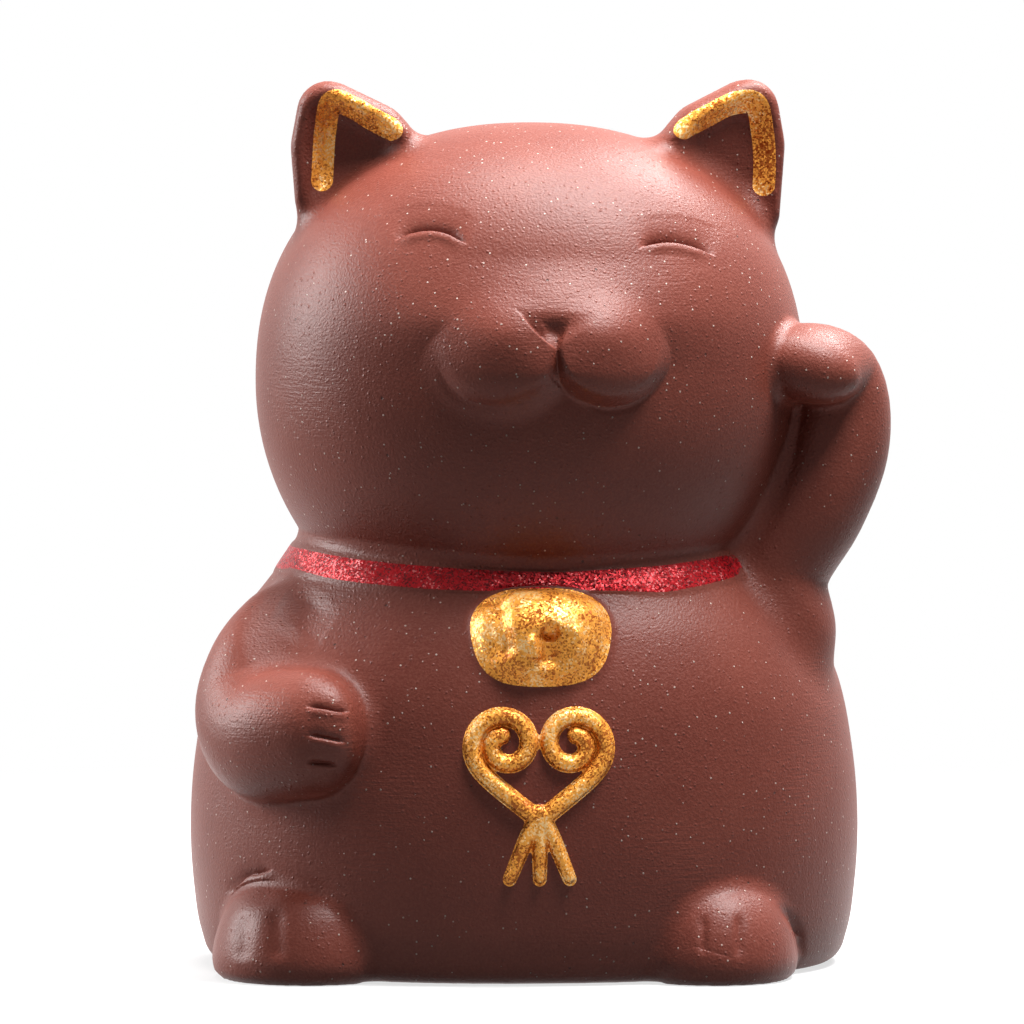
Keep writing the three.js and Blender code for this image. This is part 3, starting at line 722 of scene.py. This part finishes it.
def blend_creases(mesh):
    """Rounds the creases where limbs, ears and head join, each by its own width."""
    co, normals = coords(mesh), normals_of(mesh)
    gaps = {name: distance_to(make(), co, 3.0) for name, (make, _) in FORMS.items()}
    weight = np.full(len(co), 0.0)
    names = list(FORMS)
    for i, name in enumerate(names):
        for other in names[i + 1:]:
            width = max(FORMS[name][1], FORMS[other][1])
            if (name, other) == ("head", "arm_raised"):
                width = width + (0.8 - width) * ease(44, 52, co[:, 2])
            both = np.maximum(gaps[name], gaps[other])
            strength = 1 - ease(0.2 * width, 1.15 * width, both)
            if other == "arm_resting":
                strength = strength * (0.12 + 0.88 * ease(-0.35, 0.35, normals[:, 2]))
            weight = np.maximum(weight, strength * np.minimum(1, width / 2))
    relax(mesh, np.maximum(weight, 0.04), 4)
    relax(mesh, weight, 70)
    shoulder = np.linalg.norm((co - (-20, -14, 33)) / (9, 9, 8), axis=1)
    relax(mesh, 1 - ease(0.5, 1, shoulder), 160)


def refine(mesh, chosen):
    """Halves the edges between the chosen points."""
    bm = bmesh.new()
    bm.from_mesh(mesh)
    bm.verts.ensure_lookup_table()
    edges = [e for e in bm.edges if chosen[e.verts[0].index] and chosen[e.verts[1].index]]
    bmesh.ops.subdivide_edges(bm, edges=edges, cuts=1, use_grid_fill=True)
    bm.to_mesh(mesh)
    bm.free()
    mesh.update()


def owner_of(co, names):
    """Which of the named forms each point is nearest to."""
    return np.argmin([distance_to(FORMS[name][0](), co, 4.0) for name in names], axis=0)


def facing(normals):
    return normals @ View.ahead < -0.12


def mark_reach(co, normals):
    """How far each point is from the nearest mark or raised stroke, in the view."""
    flat = View.seen(co)
    front = facing(normals)
    reach = np.full(len(co), 9.0)
    index = front.nonzero()[0]
    for stroke in STROKES:
        near = np.all((flat[index] > stroke.line.min(0) - 2.5) & (flat[index] < stroke.line.max(0) + 2.5), axis=1)
        chosen = index[near]
        gap, _ = stroke.measure(flat[chosen])
        reach[chosen] = np.minimum(reach[chosen], np.abs(gap))
    nose = np.hypot(flat[:, 0] - 2.9, flat[:, 1] - 60.6) - 3.4
    reach = np.where(front, np.minimum(reach, np.maximum(nose, 0)), 9.0)
    badge = np.maximum(np.abs(co[:, 0] - ORNAMENT_PLACE[0]) - 7.6, np.abs(co[:, 2] - 18.4) - 9.6)
    bell = np.maximum(np.abs(co[:, 0] + 0.4) - 7.2, np.abs(co[:, 2] - 32.3) - 5.6)
    ahead = co[:, 1] < -15
    reach = np.where(ahead, np.minimum(reach, np.maximum(np.minimum(badge, bell), 0)), reach)
    return reach


def mould(bench, voxel):
    """The whole figure as one skin of clay, with its marks pressed in."""
    clay = bench.remesh([make() for make, _ in FORMS.values()], voxel, "clay", False)
    mesh = clay.data
    blend_creases(mesh)
    for width in (1.7, 1.0):
        reach = mark_reach(coords(mesh), normals_of(mesh))
        refine(mesh, reach < width)
        reach = mark_reach(coords(mesh), normals_of(mesh))
        relax(mesh, np.where(reach < width + 0.3, 0.5, 0.0), 4)
    co, normals = coords(mesh), normals_of(mesh)
    local = co - HEAD_PLACE
    on_head = ease(0, 6, -local[:, 1]) * (local[:, 2] > 2)
    co[:, 1] -= face_relief(local[:, 0], local[:, 2]) * on_head
    set_coords(mesh, co)
    normals = normals_of(mesh)
    flat = View.seen(co)
    front = facing(normals)
    names = ["body", "head", "arm_resting", "foot_left", "foot_right", "bell", "ear_left", "ear_right"]
    pressed = np.zeros(len(co))
    marked = (front & (mark_reach(co, normals) < 2.5)).nonzero()[0]
    owner = owner_of(co[marked], names)
    for stroke in STROKES:
        chosen = marked[owner == names.index(stroke.piece)] if stroke.piece else marked
        pressed[chosen] += stroke.press(flat[chosen])
    chosen = (front & (co[:, 2] > 50)).nonzero()[0]
    pressed[chosen] += NOSE_DEPTH * nose_pit(flat[chosen])
    chosen = marked[owner == names.index("bell")]
    pressed[chosen] += KEYHOLE_DEPTH * keyhole(flat[chosen])
    chosen = (np.abs(co[:, 2] - 39) < 3).nonzero()[0]
    chosen = chosen[distance_to(body_form(), co[chosen], 0.5) < 0.3]
    pressed[chosen] -= collar_swelling(co[chosen])
    on_belly = ((co[:, 1] < -15) & (np.abs(co[:, 2] - 18.4) < 11) & (np.abs(co[:, 0]) < 10)).nonzero()[0]
    raised = np.zeros(len(co))
    raised[on_belly] = ornament_relief(co[on_belly, 0], co[on_belly, 2])
    co -= normals * pressed[:, None]
    co[:, 1] -= raised
    set_coords(mesh, co)
    bench.clay = clay
    bench.learn_flow(mesh)


WHITE, TABLE_SEEN, TABLE_UNSEEN = ((level, level, level, 1) for level in (1, 0.9, 0.056))
SEEN = ("Camera", "Transmission", "Glossy")


class Wire:
    """A node's output that sums and products can be written with."""

    def __init__(self, nodes, socket):
        self.nodes, self.socket = nodes, socket

    def worked(self, operation, *values):
        return self.nodes.node("ShaderNodeMath", {"operation": operation}, dict(enumerate(values)))

    def __add__(self, other):
        return self.worked("ADD", self, other)

    def __sub__(self, other):
        return self.worked("SUBTRACT", self, other)

    def __rsub__(self, other):
        return self.worked("SUBTRACT", other, self)

    def __mul__(self, other):
        return self.worked("MULTIPLY", self, other)

    __radd__, __rmul__ = __add__, __mul__

    def step(self, low, high):
        """0 below low and 1 above high, soft between. The other way round where low is the larger."""
        return self.nodes.node("ShaderNodeMapRange", {"interpolation_type": "SMOOTHSTEP"},
                               {0: self, 1: low, 2: high, 3: 0.0, 4: 1.0})


class Nodes:
    """The nodes of a material or of the world, all made by one method."""

    def __init__(self, owner):
        owner.use_nodes = True
        self.owner, self.tree = owner, owner.node_tree
        self.tree.nodes.clear()

    def node(self, kind, settings=None, inputs=None, output=0):
        made = self.tree.nodes.new(kind)
        for key, value in (settings or {}).items():
            setattr(made, key, value)
        for key, value in (inputs or {}).items():
            if isinstance(value, Wire):
                self.tree.links.new(value.socket, made.inputs[key])
            else:
                made.inputs[key].default_value = value
        return Wire(self, made.outputs[output])

    def seen(self):
        """1 on the ways of light that the camera sees, and 0 on those that only bring light."""
        ways = [self.node("ShaderNodeLightPath", output=f"Is {kind} Ray") for kind in SEEN]
        return self.node("ShaderNodeMath", {"operation": "ADD", "use_clamp": True},
                         {0: ways[0] + ways[1], 1: ways[2]})

    def end(self, kind, shader):
        self.tree.links.new(shader.socket, self.tree.nodes.new(kind).inputs["Surface"])


class Finish(Nodes):
    """One material. Its patterns lie on Object coordinates, so they keep to the clay."""

    def __init__(self, name):
        super().__init__(bpy.data.materials.new(name))
        self.place = self.node("ShaderNodeTexCoord", output="Object")

    def noise(self, scale, detail=2.0, rough=0.5, place=None):
        return self.node("ShaderNodeTexNoise", {}, {"Vector": place or self.place, "Scale": scale,
                                                    "Detail": detail, "Roughness": rough})

    def cells(self, scale, output="Distance"):
        return self.node("ShaderNodeTexVoronoi", {}, {"Vector": self.place, "Scale": scale}, output)

    def chance(self, scale):
        """A number of its own for each cell."""
        return self.node("ShaderNodeSeparateColor", {}, {0: self.cells(scale, "Color")})

    def stretch(self, x, y, z):
        """The place, with its three directions scaled."""
        return self.node("ShaderNodeVectorMath", {"operation": "MULTIPLY"}, {0: self.place, 1: (x, y, z)})

    def mix(self, share, a, b):
        """Colour a, turning to b where the share is 1."""
        return self.node("ShaderNodeMix", {"data_type": "RGBA"}, {0: share, 6: a, 7: b}, 2)

    def bump(self, height, distance, strength, **normal):
        return self.node("ShaderNodeBump", {}, {"Height": height, "Distance": distance, "Strength": strength,
                                                **normal})

    def flakes(self, scale, lean):
        """Small flat flakes: a number for each, and its normal, which leans its own way."""
        chance = self.cells(scale, "Color")
        turned = self.node("ShaderNodeVectorMath", {"operation": "MULTIPLY_ADD"},
                           {0: chance, 1: (lean,) * 3, 2: (-lean / 2,) * 3})
        normal = self.node("ShaderNodeVectorMath", {"operation": "ADD"},
                           {0: self.node("ShaderNodeNewGeometry", output="Normal"), 1: turned})
        return (self.node("ShaderNodeSeparateColor", {}, {0: chance}),
                self.node("ShaderNodeVectorMath", {"operation": "NORMALIZE"}, {0: normal}))

    def close(self, **inputs):
        """The surface shader and the output."""
        named = {key.replace("_", " "): value for key, value in inputs.items()}
        self.end("ShaderNodeOutputMaterial", self.node("ShaderNodeBsdfPrincipled", {}, named))
        return self.owner


def rgb(colour):
    return (*colour, 1.0)


def clay_surface(finish, look):
    """Colour, roughness and height of the bare clay."""
    blotch = finish.noise(90, 3, 0.55).step(0.35, 0.68)
    grain = finish.noise(4000, 2, 0.5)
    colour = finish.mix(blotch, rgb(look.clay), rgb(look.clay_dark))
    colour = finish.mix(grain.step(0.35, 0.75) * 0.4, colour, rgb(look.clay_light))
    speck = finish.cells(1500).step(0.17, 0.1) * finish.chance(1500).step(0.72, 0.8)
    bead = finish.cells(1900).step(0.34, 0.06) * finish.chance(1900).step(0.4, 0.85)
    pit_and_shade = finish.cells(300).step(0.045, 0.03)
    colour = finish.mix(speck * 0.8, colour, rgb(look.sand))
    # The pits are pressed in and also take a near-black colour, which is painted shade in them
    colour = finish.mix(pit_and_shade * 0.7, colour, rgb(look.pit_and_shade))
    rough = 0.36 + grain * 0.12 - speck * 0.1
    combed = finish.noise(1, 2, 0.6, finish.stretch(420, 420, 4300)) * finish.noise(70, 1).step(0.5, 0.65)
    height = grain * 0.42 + bead * 0.35 + combed * 0.4 + speck * 0.3 - pit_and_shade
    return colour, rough, height


def clay_finish(look):
    finish = Finish("unglazed clay")
    colour, rough, height = clay_surface(finish, look)
    return finish.close(Base_Color=colour, Roughness=rough, Specular_IOR_Level=0.2,
                        Normal=finish.bump(height, 0.00016, 0.8))


def gold_finish(look):
    finish = Finish("grainy gold paint")
    clay = clay_surface(finish, look)[0]
    flake, leaning = finish.flakes(6200, 0.42)
    # Painted shade: the noise patches and the darker flakes darken the gold as if parts of it lay in shade; the dark
    # flakes are partly the paint's real grain too
    patch = finish.noise(330, 2, 0.5)
    share = flake + (patch - 0.5) * 2.2
    colour = finish.mix(share.step(0.0, 0.45), rgb(look.gold_grain_and_shade), rgb(look.gold))
    # Painted glints: pale flakes stand in for the lamps' sparkle on the gold
    colour = finish.mix(share.step(0.8, 1.0) * 0.6, colour, rgb(look.gold_painted_glint))
    worn = finish.noise(900, 3, 0.6).step(0.72, 0.8) * 0.7
    colour = finish.mix(worn, colour, clay)
    rough = 0.27 + flake * 0.12 + worn * 0.2
    metal = 0.25 - worn * 0.24
    return finish.close(Base_Color=colour, Roughness=rough, Metallic=metal, Specular_Tint=(1, 0.62, 0.28, 1),
                        Normal=finish.bump(patch, 0.0001, 0.6, Normal=leaning))


def red_finish(look):
    finish = Finish("red glitter paint")
    flake, leaning = finish.flakes(6200, 0.4)
    patch = finish.noise(420, 3, 0.6)
    share = flake + (patch - 0.5) * 0.8
    # The darker flakes are partly the red paint's grain and partly painted shade
    colour = finish.mix(share.step(0.1, 0.6), rgb(look.red_grain_and_shade), rgb(look.red))
    # Painted glints: pale pink flakes stand in for the lamps' sparkle on the collar
    colour = finish.mix(share.step(0.9, 1.05) * 0.7, colour, rgb(look.red_painted_glint))
    rough = 0.24 + flake * 0.14
    return finish.close(Base_Color=colour, Roughness=rough, Metallic=0.3, Specular_IOR_Level=0.3,
                        Specular_Tint=(1, 0.5, 0.5, 1),
                        Normal=finish.bump(patch, 0.0001, 0.6, Normal=leaning))


def colour(text, default):
    return FloatVectorProperty(name=text, description=f"Colour of {text.lower()}", default=default, subtype="COLOR",
                               size=3, min=0, max=1)


class ClaySettings(PropertyGroup):
    voxel: FloatProperty(name="Grain of the mesh", description="Edge length of the clay's skin", default=0.00038,
                         unit="LENGTH")
    quick_voxel: FloatProperty(name="Grain for tries", description="Edge length in quick tries", default=0.0006,
                               unit="LENGTH")


class LookSettings(PropertyGroup):
    clay: colour("Clay", (0.162, 0.037, 0.024))
    clay_dark: colour("Darker clay", (0.138, 0.029, 0.0185))
    clay_light: colour("Lighter clay", (0.235, 0.071, 0.051))
    sand: colour("Sand specks", (0.6, 0.48, 0.42))
    # Colour of the pits: painted shade
    pit_and_shade: colour("Pits in painted shade", (0.04, 0.016, 0.012))
    gold: colour("Gold paint", (0.95, 0.39, 0.06))
    # Darker gold, partly the paint's grain and partly painted shade
    gold_grain_and_shade: colour("Gold in the grain and painted shade", (0.38, 0.09, 0.012))
    # Pale gold for the painted glints
    gold_painted_glint: colour("Painted glints on the gold", (1.0, 0.78, 0.42))
    red: colour("Red paint", (0.42, 0.007, 0.013))
    # Darker red, partly the paint's grain and partly painted shade
    red_grain_and_shade: colour("Red in the grain and painted shade", (0.1, 0.0015, 0.003))
    # Pale pink for the painted glints
    red_painted_glint: colour("Painted glints on the red", (0.95, 0.3, 0.3))


class StageSettings(PropertyGroup):
    key: FloatProperty(name="Key light", description="Power of the lamp high on the right", default=8.6, unit="POWER")
    top: FloatProperty(name="Top light", description="Power of the lamp overhead", default=4.7, unit="POWER")
    back: FloatProperty(name="Back light", description="Power of the lamp behind on the right", default=4.7,
                        unit="POWER")
    left: FloatProperty(name="Left light", description="Power of the low lamp on the left", default=5.2,
                        unit="POWER")
    ambient: FloatProperty(name="Ambient", description="Light from the room", default=0.01)


work = {}  # the workbench and the finishes, as the steps need them


def origin():
    """The point on the table under the body's axis, in the frame of the solids."""
    low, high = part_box("body_shell")
    share = BODY_FRONT / (BODY_FRONT + BODY_BACK)
    return Vector(((low.x + high.x) / 2, low.y + (high.y - low.y) * share, low.z))


def finish_material(slot):
    if slot not in work:
        look = bpy.context.scene.cat_look
        work[slot] = {"clay": clay_finish, "gilt": gold_finish, "red_glaze": red_finish}[slot](look)
    return work[slot]


def set_down(bench, made, name, slot, *nodes):
    """Puts a parted piece in the figure: in metres, with soft shading that runs on over its seams."""
    mesh = made.data
    faces = len(mesh.polygons)
    face_of = np.repeat(np.arange(faces), read(mesh.polygons, "loop_total"))
    skin_side = read(mesh.polygons, "material_index")[face_of] == 0
    corner_vert, corner_edge = read(mesh.loops, "vertex_index"), read(mesh.loops, "edge_index")
    edge_skin = np.bincount(corner_edge, skin_side, len(mesh.edges)) > 0
    edge_cut = np.bincount(corner_edge, ~skin_side, len(mesh.edges)) > 0
    seam = edge_skin & edge_cut
    mesh.polygons.foreach_set("use_smooth", np.ones(faces, bool))
    mesh.edges.foreach_set("use_edge_sharp", seam)
    on_seam = np.zeros(len(mesh.vertices), bool)
    on_seam[read(mesh.edges, "vertices", 2)[seam].ravel()] = True
    beside = np.bincount(face_of, on_seam[corner_vert], faces) > 0
    on_seam[corner_vert[beside[face_of] & skin_side]] = True
    flow = {}
    for i in on_seam.nonzero()[0]:
        place, _, face, _ = bench.tree.find_nearest(mesh.vertices[int(i)].co)
        corners = bench.corners[face]
        weight = 1 / (np.linalg.norm(bench.co[list(corners)] - np.array(place), axis=1) + 1e-5)
        normal = weight @ bench.flow[list(corners)]
        flow[int(i)] = normal / np.linalg.norm(normal)
    custom = np.zeros((len(mesh.loops), 3))
    for k in (skin_side & on_seam[corner_vert]).nonzero()[0]:
        custom[k] = flow[int(corner_vert[k])]
    mesh.transform(Matrix.Translation(origin()) @ Matrix.Scale(MM, 4))
    mesh.normals_split_custom_set(custom.tolist())
    mesh.materials.clear()
    mesh.materials.append(finish_material(slot))
    mesh.polygons.foreach_set("material_index", np.zeros(faces, np.int32))
    mesh.name = name
    piece = bpy.data.objects.new(name, mesh)
    bpy.context.scene.collection.objects.link(piece)
    bpy.data.objects.remove(made)
    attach(piece, "root")
    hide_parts(*nodes)
    return piece


def room_for(bench, name, grow):
    """The room a limb, ear or bell takes, down to just under the surface of the shells."""
    room = bench.remesh([FORMS[name][0](grow)], 0.4, name + "_room")
    return bench.change(room, bench.core, "DIFFERENCE")


class CAT_OT_mould(Operator):
    """Mould the whole figure as one skin of clay and press its marks in"""
    bl_idname = "clay_cat.mould"
    bl_label = "Mould the clay"

    def execute(self, context):
        clay = context.scene.clay_cat
        bench = work["bench"] = Bench()
        mould(bench, clay.voxel / MM)
        bench.core = bench.put(body_form(-1.0, 1.0, BODY_HEIGHT - 1.0), "core")
        bench.change(bench.core, bench.put(head_form(-1.0), "head_core"), "UNION")
        return {"FINISHED"}


class CAT_OT_raised_arm(Operator):
    """Part the raised arm, which runs over the neck, and then the head from the body"""
    bl_idname = "clay_cat.raised_arm"
    bl_label = "Raised arm"

    def execute(self, context):
        bench = work["bench"]
        arm = bench.part(bench.clay, room_for(bench, "arm_raised", 0.8), "arm_raised")
        set_down(bench, arm, "arm_raised_clay", "clay", "arm_raised")
        room = bench.put(box_form((-60, -60, NECK_CUT), (60, 60, 120)), "head_room")
        bench.head = bench.part(bench.clay, room, "head")
        return {"FINISHED"}


class CAT_OT_collar(Operator):
    """Part the painted collar from the clay"""
    bl_idname = "clay_cat.collar"
    bl_label = "Collar"

    def execute(self, context):
        bench = work["bench"]
        turns, levels, halves = np.array(COLLAR).T
        turn = np.linspace(turns[0], turns[-1], 100)
        level = np.interp(turn, turns, levels)
        points = np.column_stack((*plan(np.radians(turn - 90), body_section(level), BODY_POWER), level))
        girth = [(0.5, half) for half in np.interp(turn, turns, halves)]

        def outward(line):
            return np.column_stack((line[:, 0], line[:, 1], np.full(len(line), 17.0)))
        room = bench.put(rod(points, girth, 0, outward, 24, 260), "collar_room")
        set_down(bench, bench.part(bench.clay, room, "collar"), "painted_collar", "red_glaze", "collar_band")
        return {"FINISHED"}


class CAT_OT_bell(Operator):
    """Part the gilt bell from the clay"""
    bl_idname = "clay_cat.bell"
    bl_label = "Bell"

    def execute(self, context):
        bench = work["bench"]
        bell = bench.part(bench.clay, room_for(bench, "bell", 0.35), "bell")
        set_down(bench, bell, "gilt_bell", "gilt", "bell")
        return {"FINISHED"}


class CAT_OT_ornament(Operator):
    """Part the gilt cloud scroll and tassel from the belly"""
    bl_idname = "clay_cat.ornament"
    bl_label = "Cloud ornament"

    def execute(self, context):
        bench = work["bench"]
        rods = []
        for points, narrowing in scroll_lines():
            flat = smooth_line([(x, z, 0) for x, z in points], 40)[0][:, :2] + ORNAMENT_PLACE
            ends = [end + (end - before) * STROKE_HALF / np.linalg.norm(end - before)
                    for end, before in ((flat[0], flat[1]), (flat[-1], flat[-2]))]
            flat = np.vstack((ends[0], flat, ends[1]))
            placed = np.column_stack((flat[:, 0], belly_y(flat[:, 0], flat[:, 1]), flat[:, 1]))
            girth = [((STROKE_HALF + 0.12) * (1 - narrowing * s),) * 2 for s in (0, 0.5, 1)]
            rods.append(rod(placed, girth, 0, towards(0.0, -1.0, 0.0), 16, 90))
        room = bench.remesh(rods, 0.14, "ornament_room")
        set_down(bench, bench.part(bench.clay, room, "ornament"), "gilt_cloud_ornament", "gilt", "cloud_ornament")
        return {"FINISHED"}


class CAT_OT_ears(Operator):
    """Part the ears from the head, and their gilt edges from them"""
    bl_idname = "clay_cat.ears"
    bl_label = "Ears"

    def execute(self, context):
        bench = work["bench"]
        for name in ("left", "right"):
            ear = bench.part(bench.head, room_for(bench, "ear_" + name, 1.3), "ear")
            gilding = bench.part(ear, bench.put(gilding_form(name), "gilding_room"), "gilding")
            set_down(bench, gilding, "ear_gilding_" + name, "gilt", "ear_gilding_" + name)
            set_down(bench, ear, "ear_clay_" + name, "clay", "ear_" + name)
        return {"FINISHED"}


class CAT_OT_limbs(Operator):
    """Part the resting arm, the feet and the tail from the body"""
    bl_idname = "clay_cat.limbs"
    bl_label = "Arm, feet and tail"

    def execute(self, context):
        bench = work["bench"]
        for name, grow in (("arm_resting", 1.2), ("foot_left", 0.4), ("foot_right", 0.5), ("tail", 0.9)):
            set_down(bench, bench.part(bench.clay, room_for(bench, name, grow), name), name + "_clay", "clay", name)
        return {"FINISHED"}


class CAT_OT_shells(Operator):
    """Hollow out the head and the body"""
    bl_idname = "clay_cat.shells"
    bl_label = "Head and body"

    def execute(self, context):
        bench = work["bench"]
        bench.change(bench.head, bench.put(head_form(-WALL), "head_hollow"), "DIFFERENCE")
        bench.change(bench.clay, bench.put(body_form(-WALL, -1, 42.5), "body_hollow"), "DIFFERENCE")
        set_down(bench, bench.head, "head_clay", "clay", "head_shell")
        set_down(bench, bench.clay, "body_clay", "clay", "body_shell")
        return {"FINISHED"}


class CAT_OT_base(Operator):
    """Give the base disc its clay"""
    bl_idname = "clay_cat.base"
    bl_label = "Base disc"

    def execute(self, context):
        disc = frame["nodes"]["base_disc"]
        disc.data.materials.clear()
        disc.data.materials.append(finish_material("clay"))
        return {"FINISHED"}


class CAT_OT_stage(Operator):
    """Set up the table, the lamps and the camera"""
    bl_idname = "clay_cat.stage"
    bl_label = "Stage"

    def execute(self, context):
        scene = context.scene
        stage = scene.cat_stage
        scene.view_settings.view_transform = "Standard"
        foot = origin()
        world = Nodes(bpy.data.worlds.new("room"))
        scene.world = world.owner
        white, room = (world.node("ShaderNodeBackground", {}, {"Color": WHITE, "Strength": strength})
                       for strength in (1.0, stage.ambient))
        world.end("ShaderNodeOutputWorld",
                  world.node("ShaderNodeMixShader", {}, {0: world.seen(), 1: room, 2: white}))

        bm = bmesh.new()
        bmesh.ops.create_circle(bm, cap_ends=True, segments=96, radius=1.5)
        bmesh.ops.translate(bm, verts=bm.verts, vec=(foot.x, foot.y, -0.00002))
        mesh = bpy.data.meshes.new("table")
        bm.to_mesh(mesh)
        bm.free()
        table = bpy.data.objects.new("table", mesh)
        scene.collection.objects.link(table)
        finish = Finish("white table")
        seen = finish.seen()
        far = finish.node("ShaderNodeVectorMath", {"operation": "LENGTH"}, {0: finish.place}, "Value")
        matt = finish.node("ShaderNodeBsdfDiffuse", {}, {"Color": finish.mix(seen, TABLE_UNSEEN, TABLE_SEEN)})
        glow = finish.node("ShaderNodeEmission", {}, {"Color": WHITE, "Strength": 1.0})
        white = seen * (0.7 + far.step(0.05, 0.22) * 0.3)
        finish.end("ShaderNodeOutputMaterial", finish.node("ShaderNodeMixShader", {}, {0: white, 1: matt, 2: glow}))
        mesh.materials.append(finish.owner)

        aim = foot + Vector((0, 0, 0.045))
        for name, azimuth, elevation, size, power in (
                ("key", 62, 70, 0.24, stage.key), ("top", 180, 82, 0.24, stage.top),
                ("back", 137, 49, 0.24, stage.back), ("left", -110, 19, 0.3, stage.left)):
            lamp = bpy.data.lights.new(name, "AREA")
            lamp.size, lamp.energy = size, power
            holder = bpy.data.objects.new(name, lamp)
            turn, lean = math.radians(azimuth), math.radians(elevation)
            holder.location = aim + 0.6 * Vector((math.cos(lean) * math.sin(turn), -math.cos(lean) * math.cos(turn),
                                                  math.sin(lean)))
            holder.rotation_euler = (aim - holder.location).to_track_quat("-Z", "Y").to_euler()
            scene.collection.objects.link(holder)

        camera = bpy.data.cameras.new("camera")
        camera.sensor_width = 36
        camera.lens = camera.sensor_width * View.distance / (View.pixels * View.pixel)
        holder = bpy.data.objects.new("camera", camera)
        turn = Matrix((View.right, View.upward, -View.ahead)).transposed().to_4x4()
        holder.matrix_world = Matrix.Translation(foot + Vector(View.eye) * MM) @ turn
        scene.collection.objects.link(holder)
        scene.camera = holder
        return {"FINISHED"}


STEPS = (CAT_OT_mould, CAT_OT_raised_arm, CAT_OT_collar, CAT_OT_bell, CAT_OT_ornament, CAT_OT_ears, CAT_OT_limbs,
         CAT_OT_shells, CAT_OT_base, CAT_OT_stage)


class CAT_PT_panel(Panel):
    bl_idname = "CAT_PT_panel"
    bl_label = "Clay cat"
    bl_space_type = "VIEW_3D"
    bl_region_type = "UI"
    bl_category = "Clay cat"

    def draw(self, context):
        for step in STEPS:
            self.layout.operator(step.bl_idname)
        for group in (context.scene.clay_cat, context.scene.cat_look, context.scene.cat_stage):
            for name in group.__annotations__:
                self.layout.prop(group, name)


CLASSES = (ClaySettings, LookSettings, StageSettings, *STEPS, CAT_PT_panel)
GROUPS = {"clay_cat": ClaySettings, "cat_look": LookSettings, "cat_stage": StageSettings}


def register():
    for cls in CLASSES:
        bpy.utils.register_class(cls)
    for name, group in GROUPS.items():
        setattr(bpy.types.Scene, name, PointerProperty(type=group))


def unregister():
    for name in GROUPS:
        delattr(bpy.types.Scene, name)
    for cls in reversed(CLASSES):
        bpy.utils.unregister_class(cls)


def main():
    register()
    for step in STEPS:
        getattr(bpy.ops.clay_cat, step.bl_idname.split(".")[1])()
    bench = work["bench"]
    for made in list(bench.shelf.objects):
        bpy.data.objects.remove(made)
    bpy.data.collections.remove(bench.shelf)


if __name__ == "__main__":
    main()
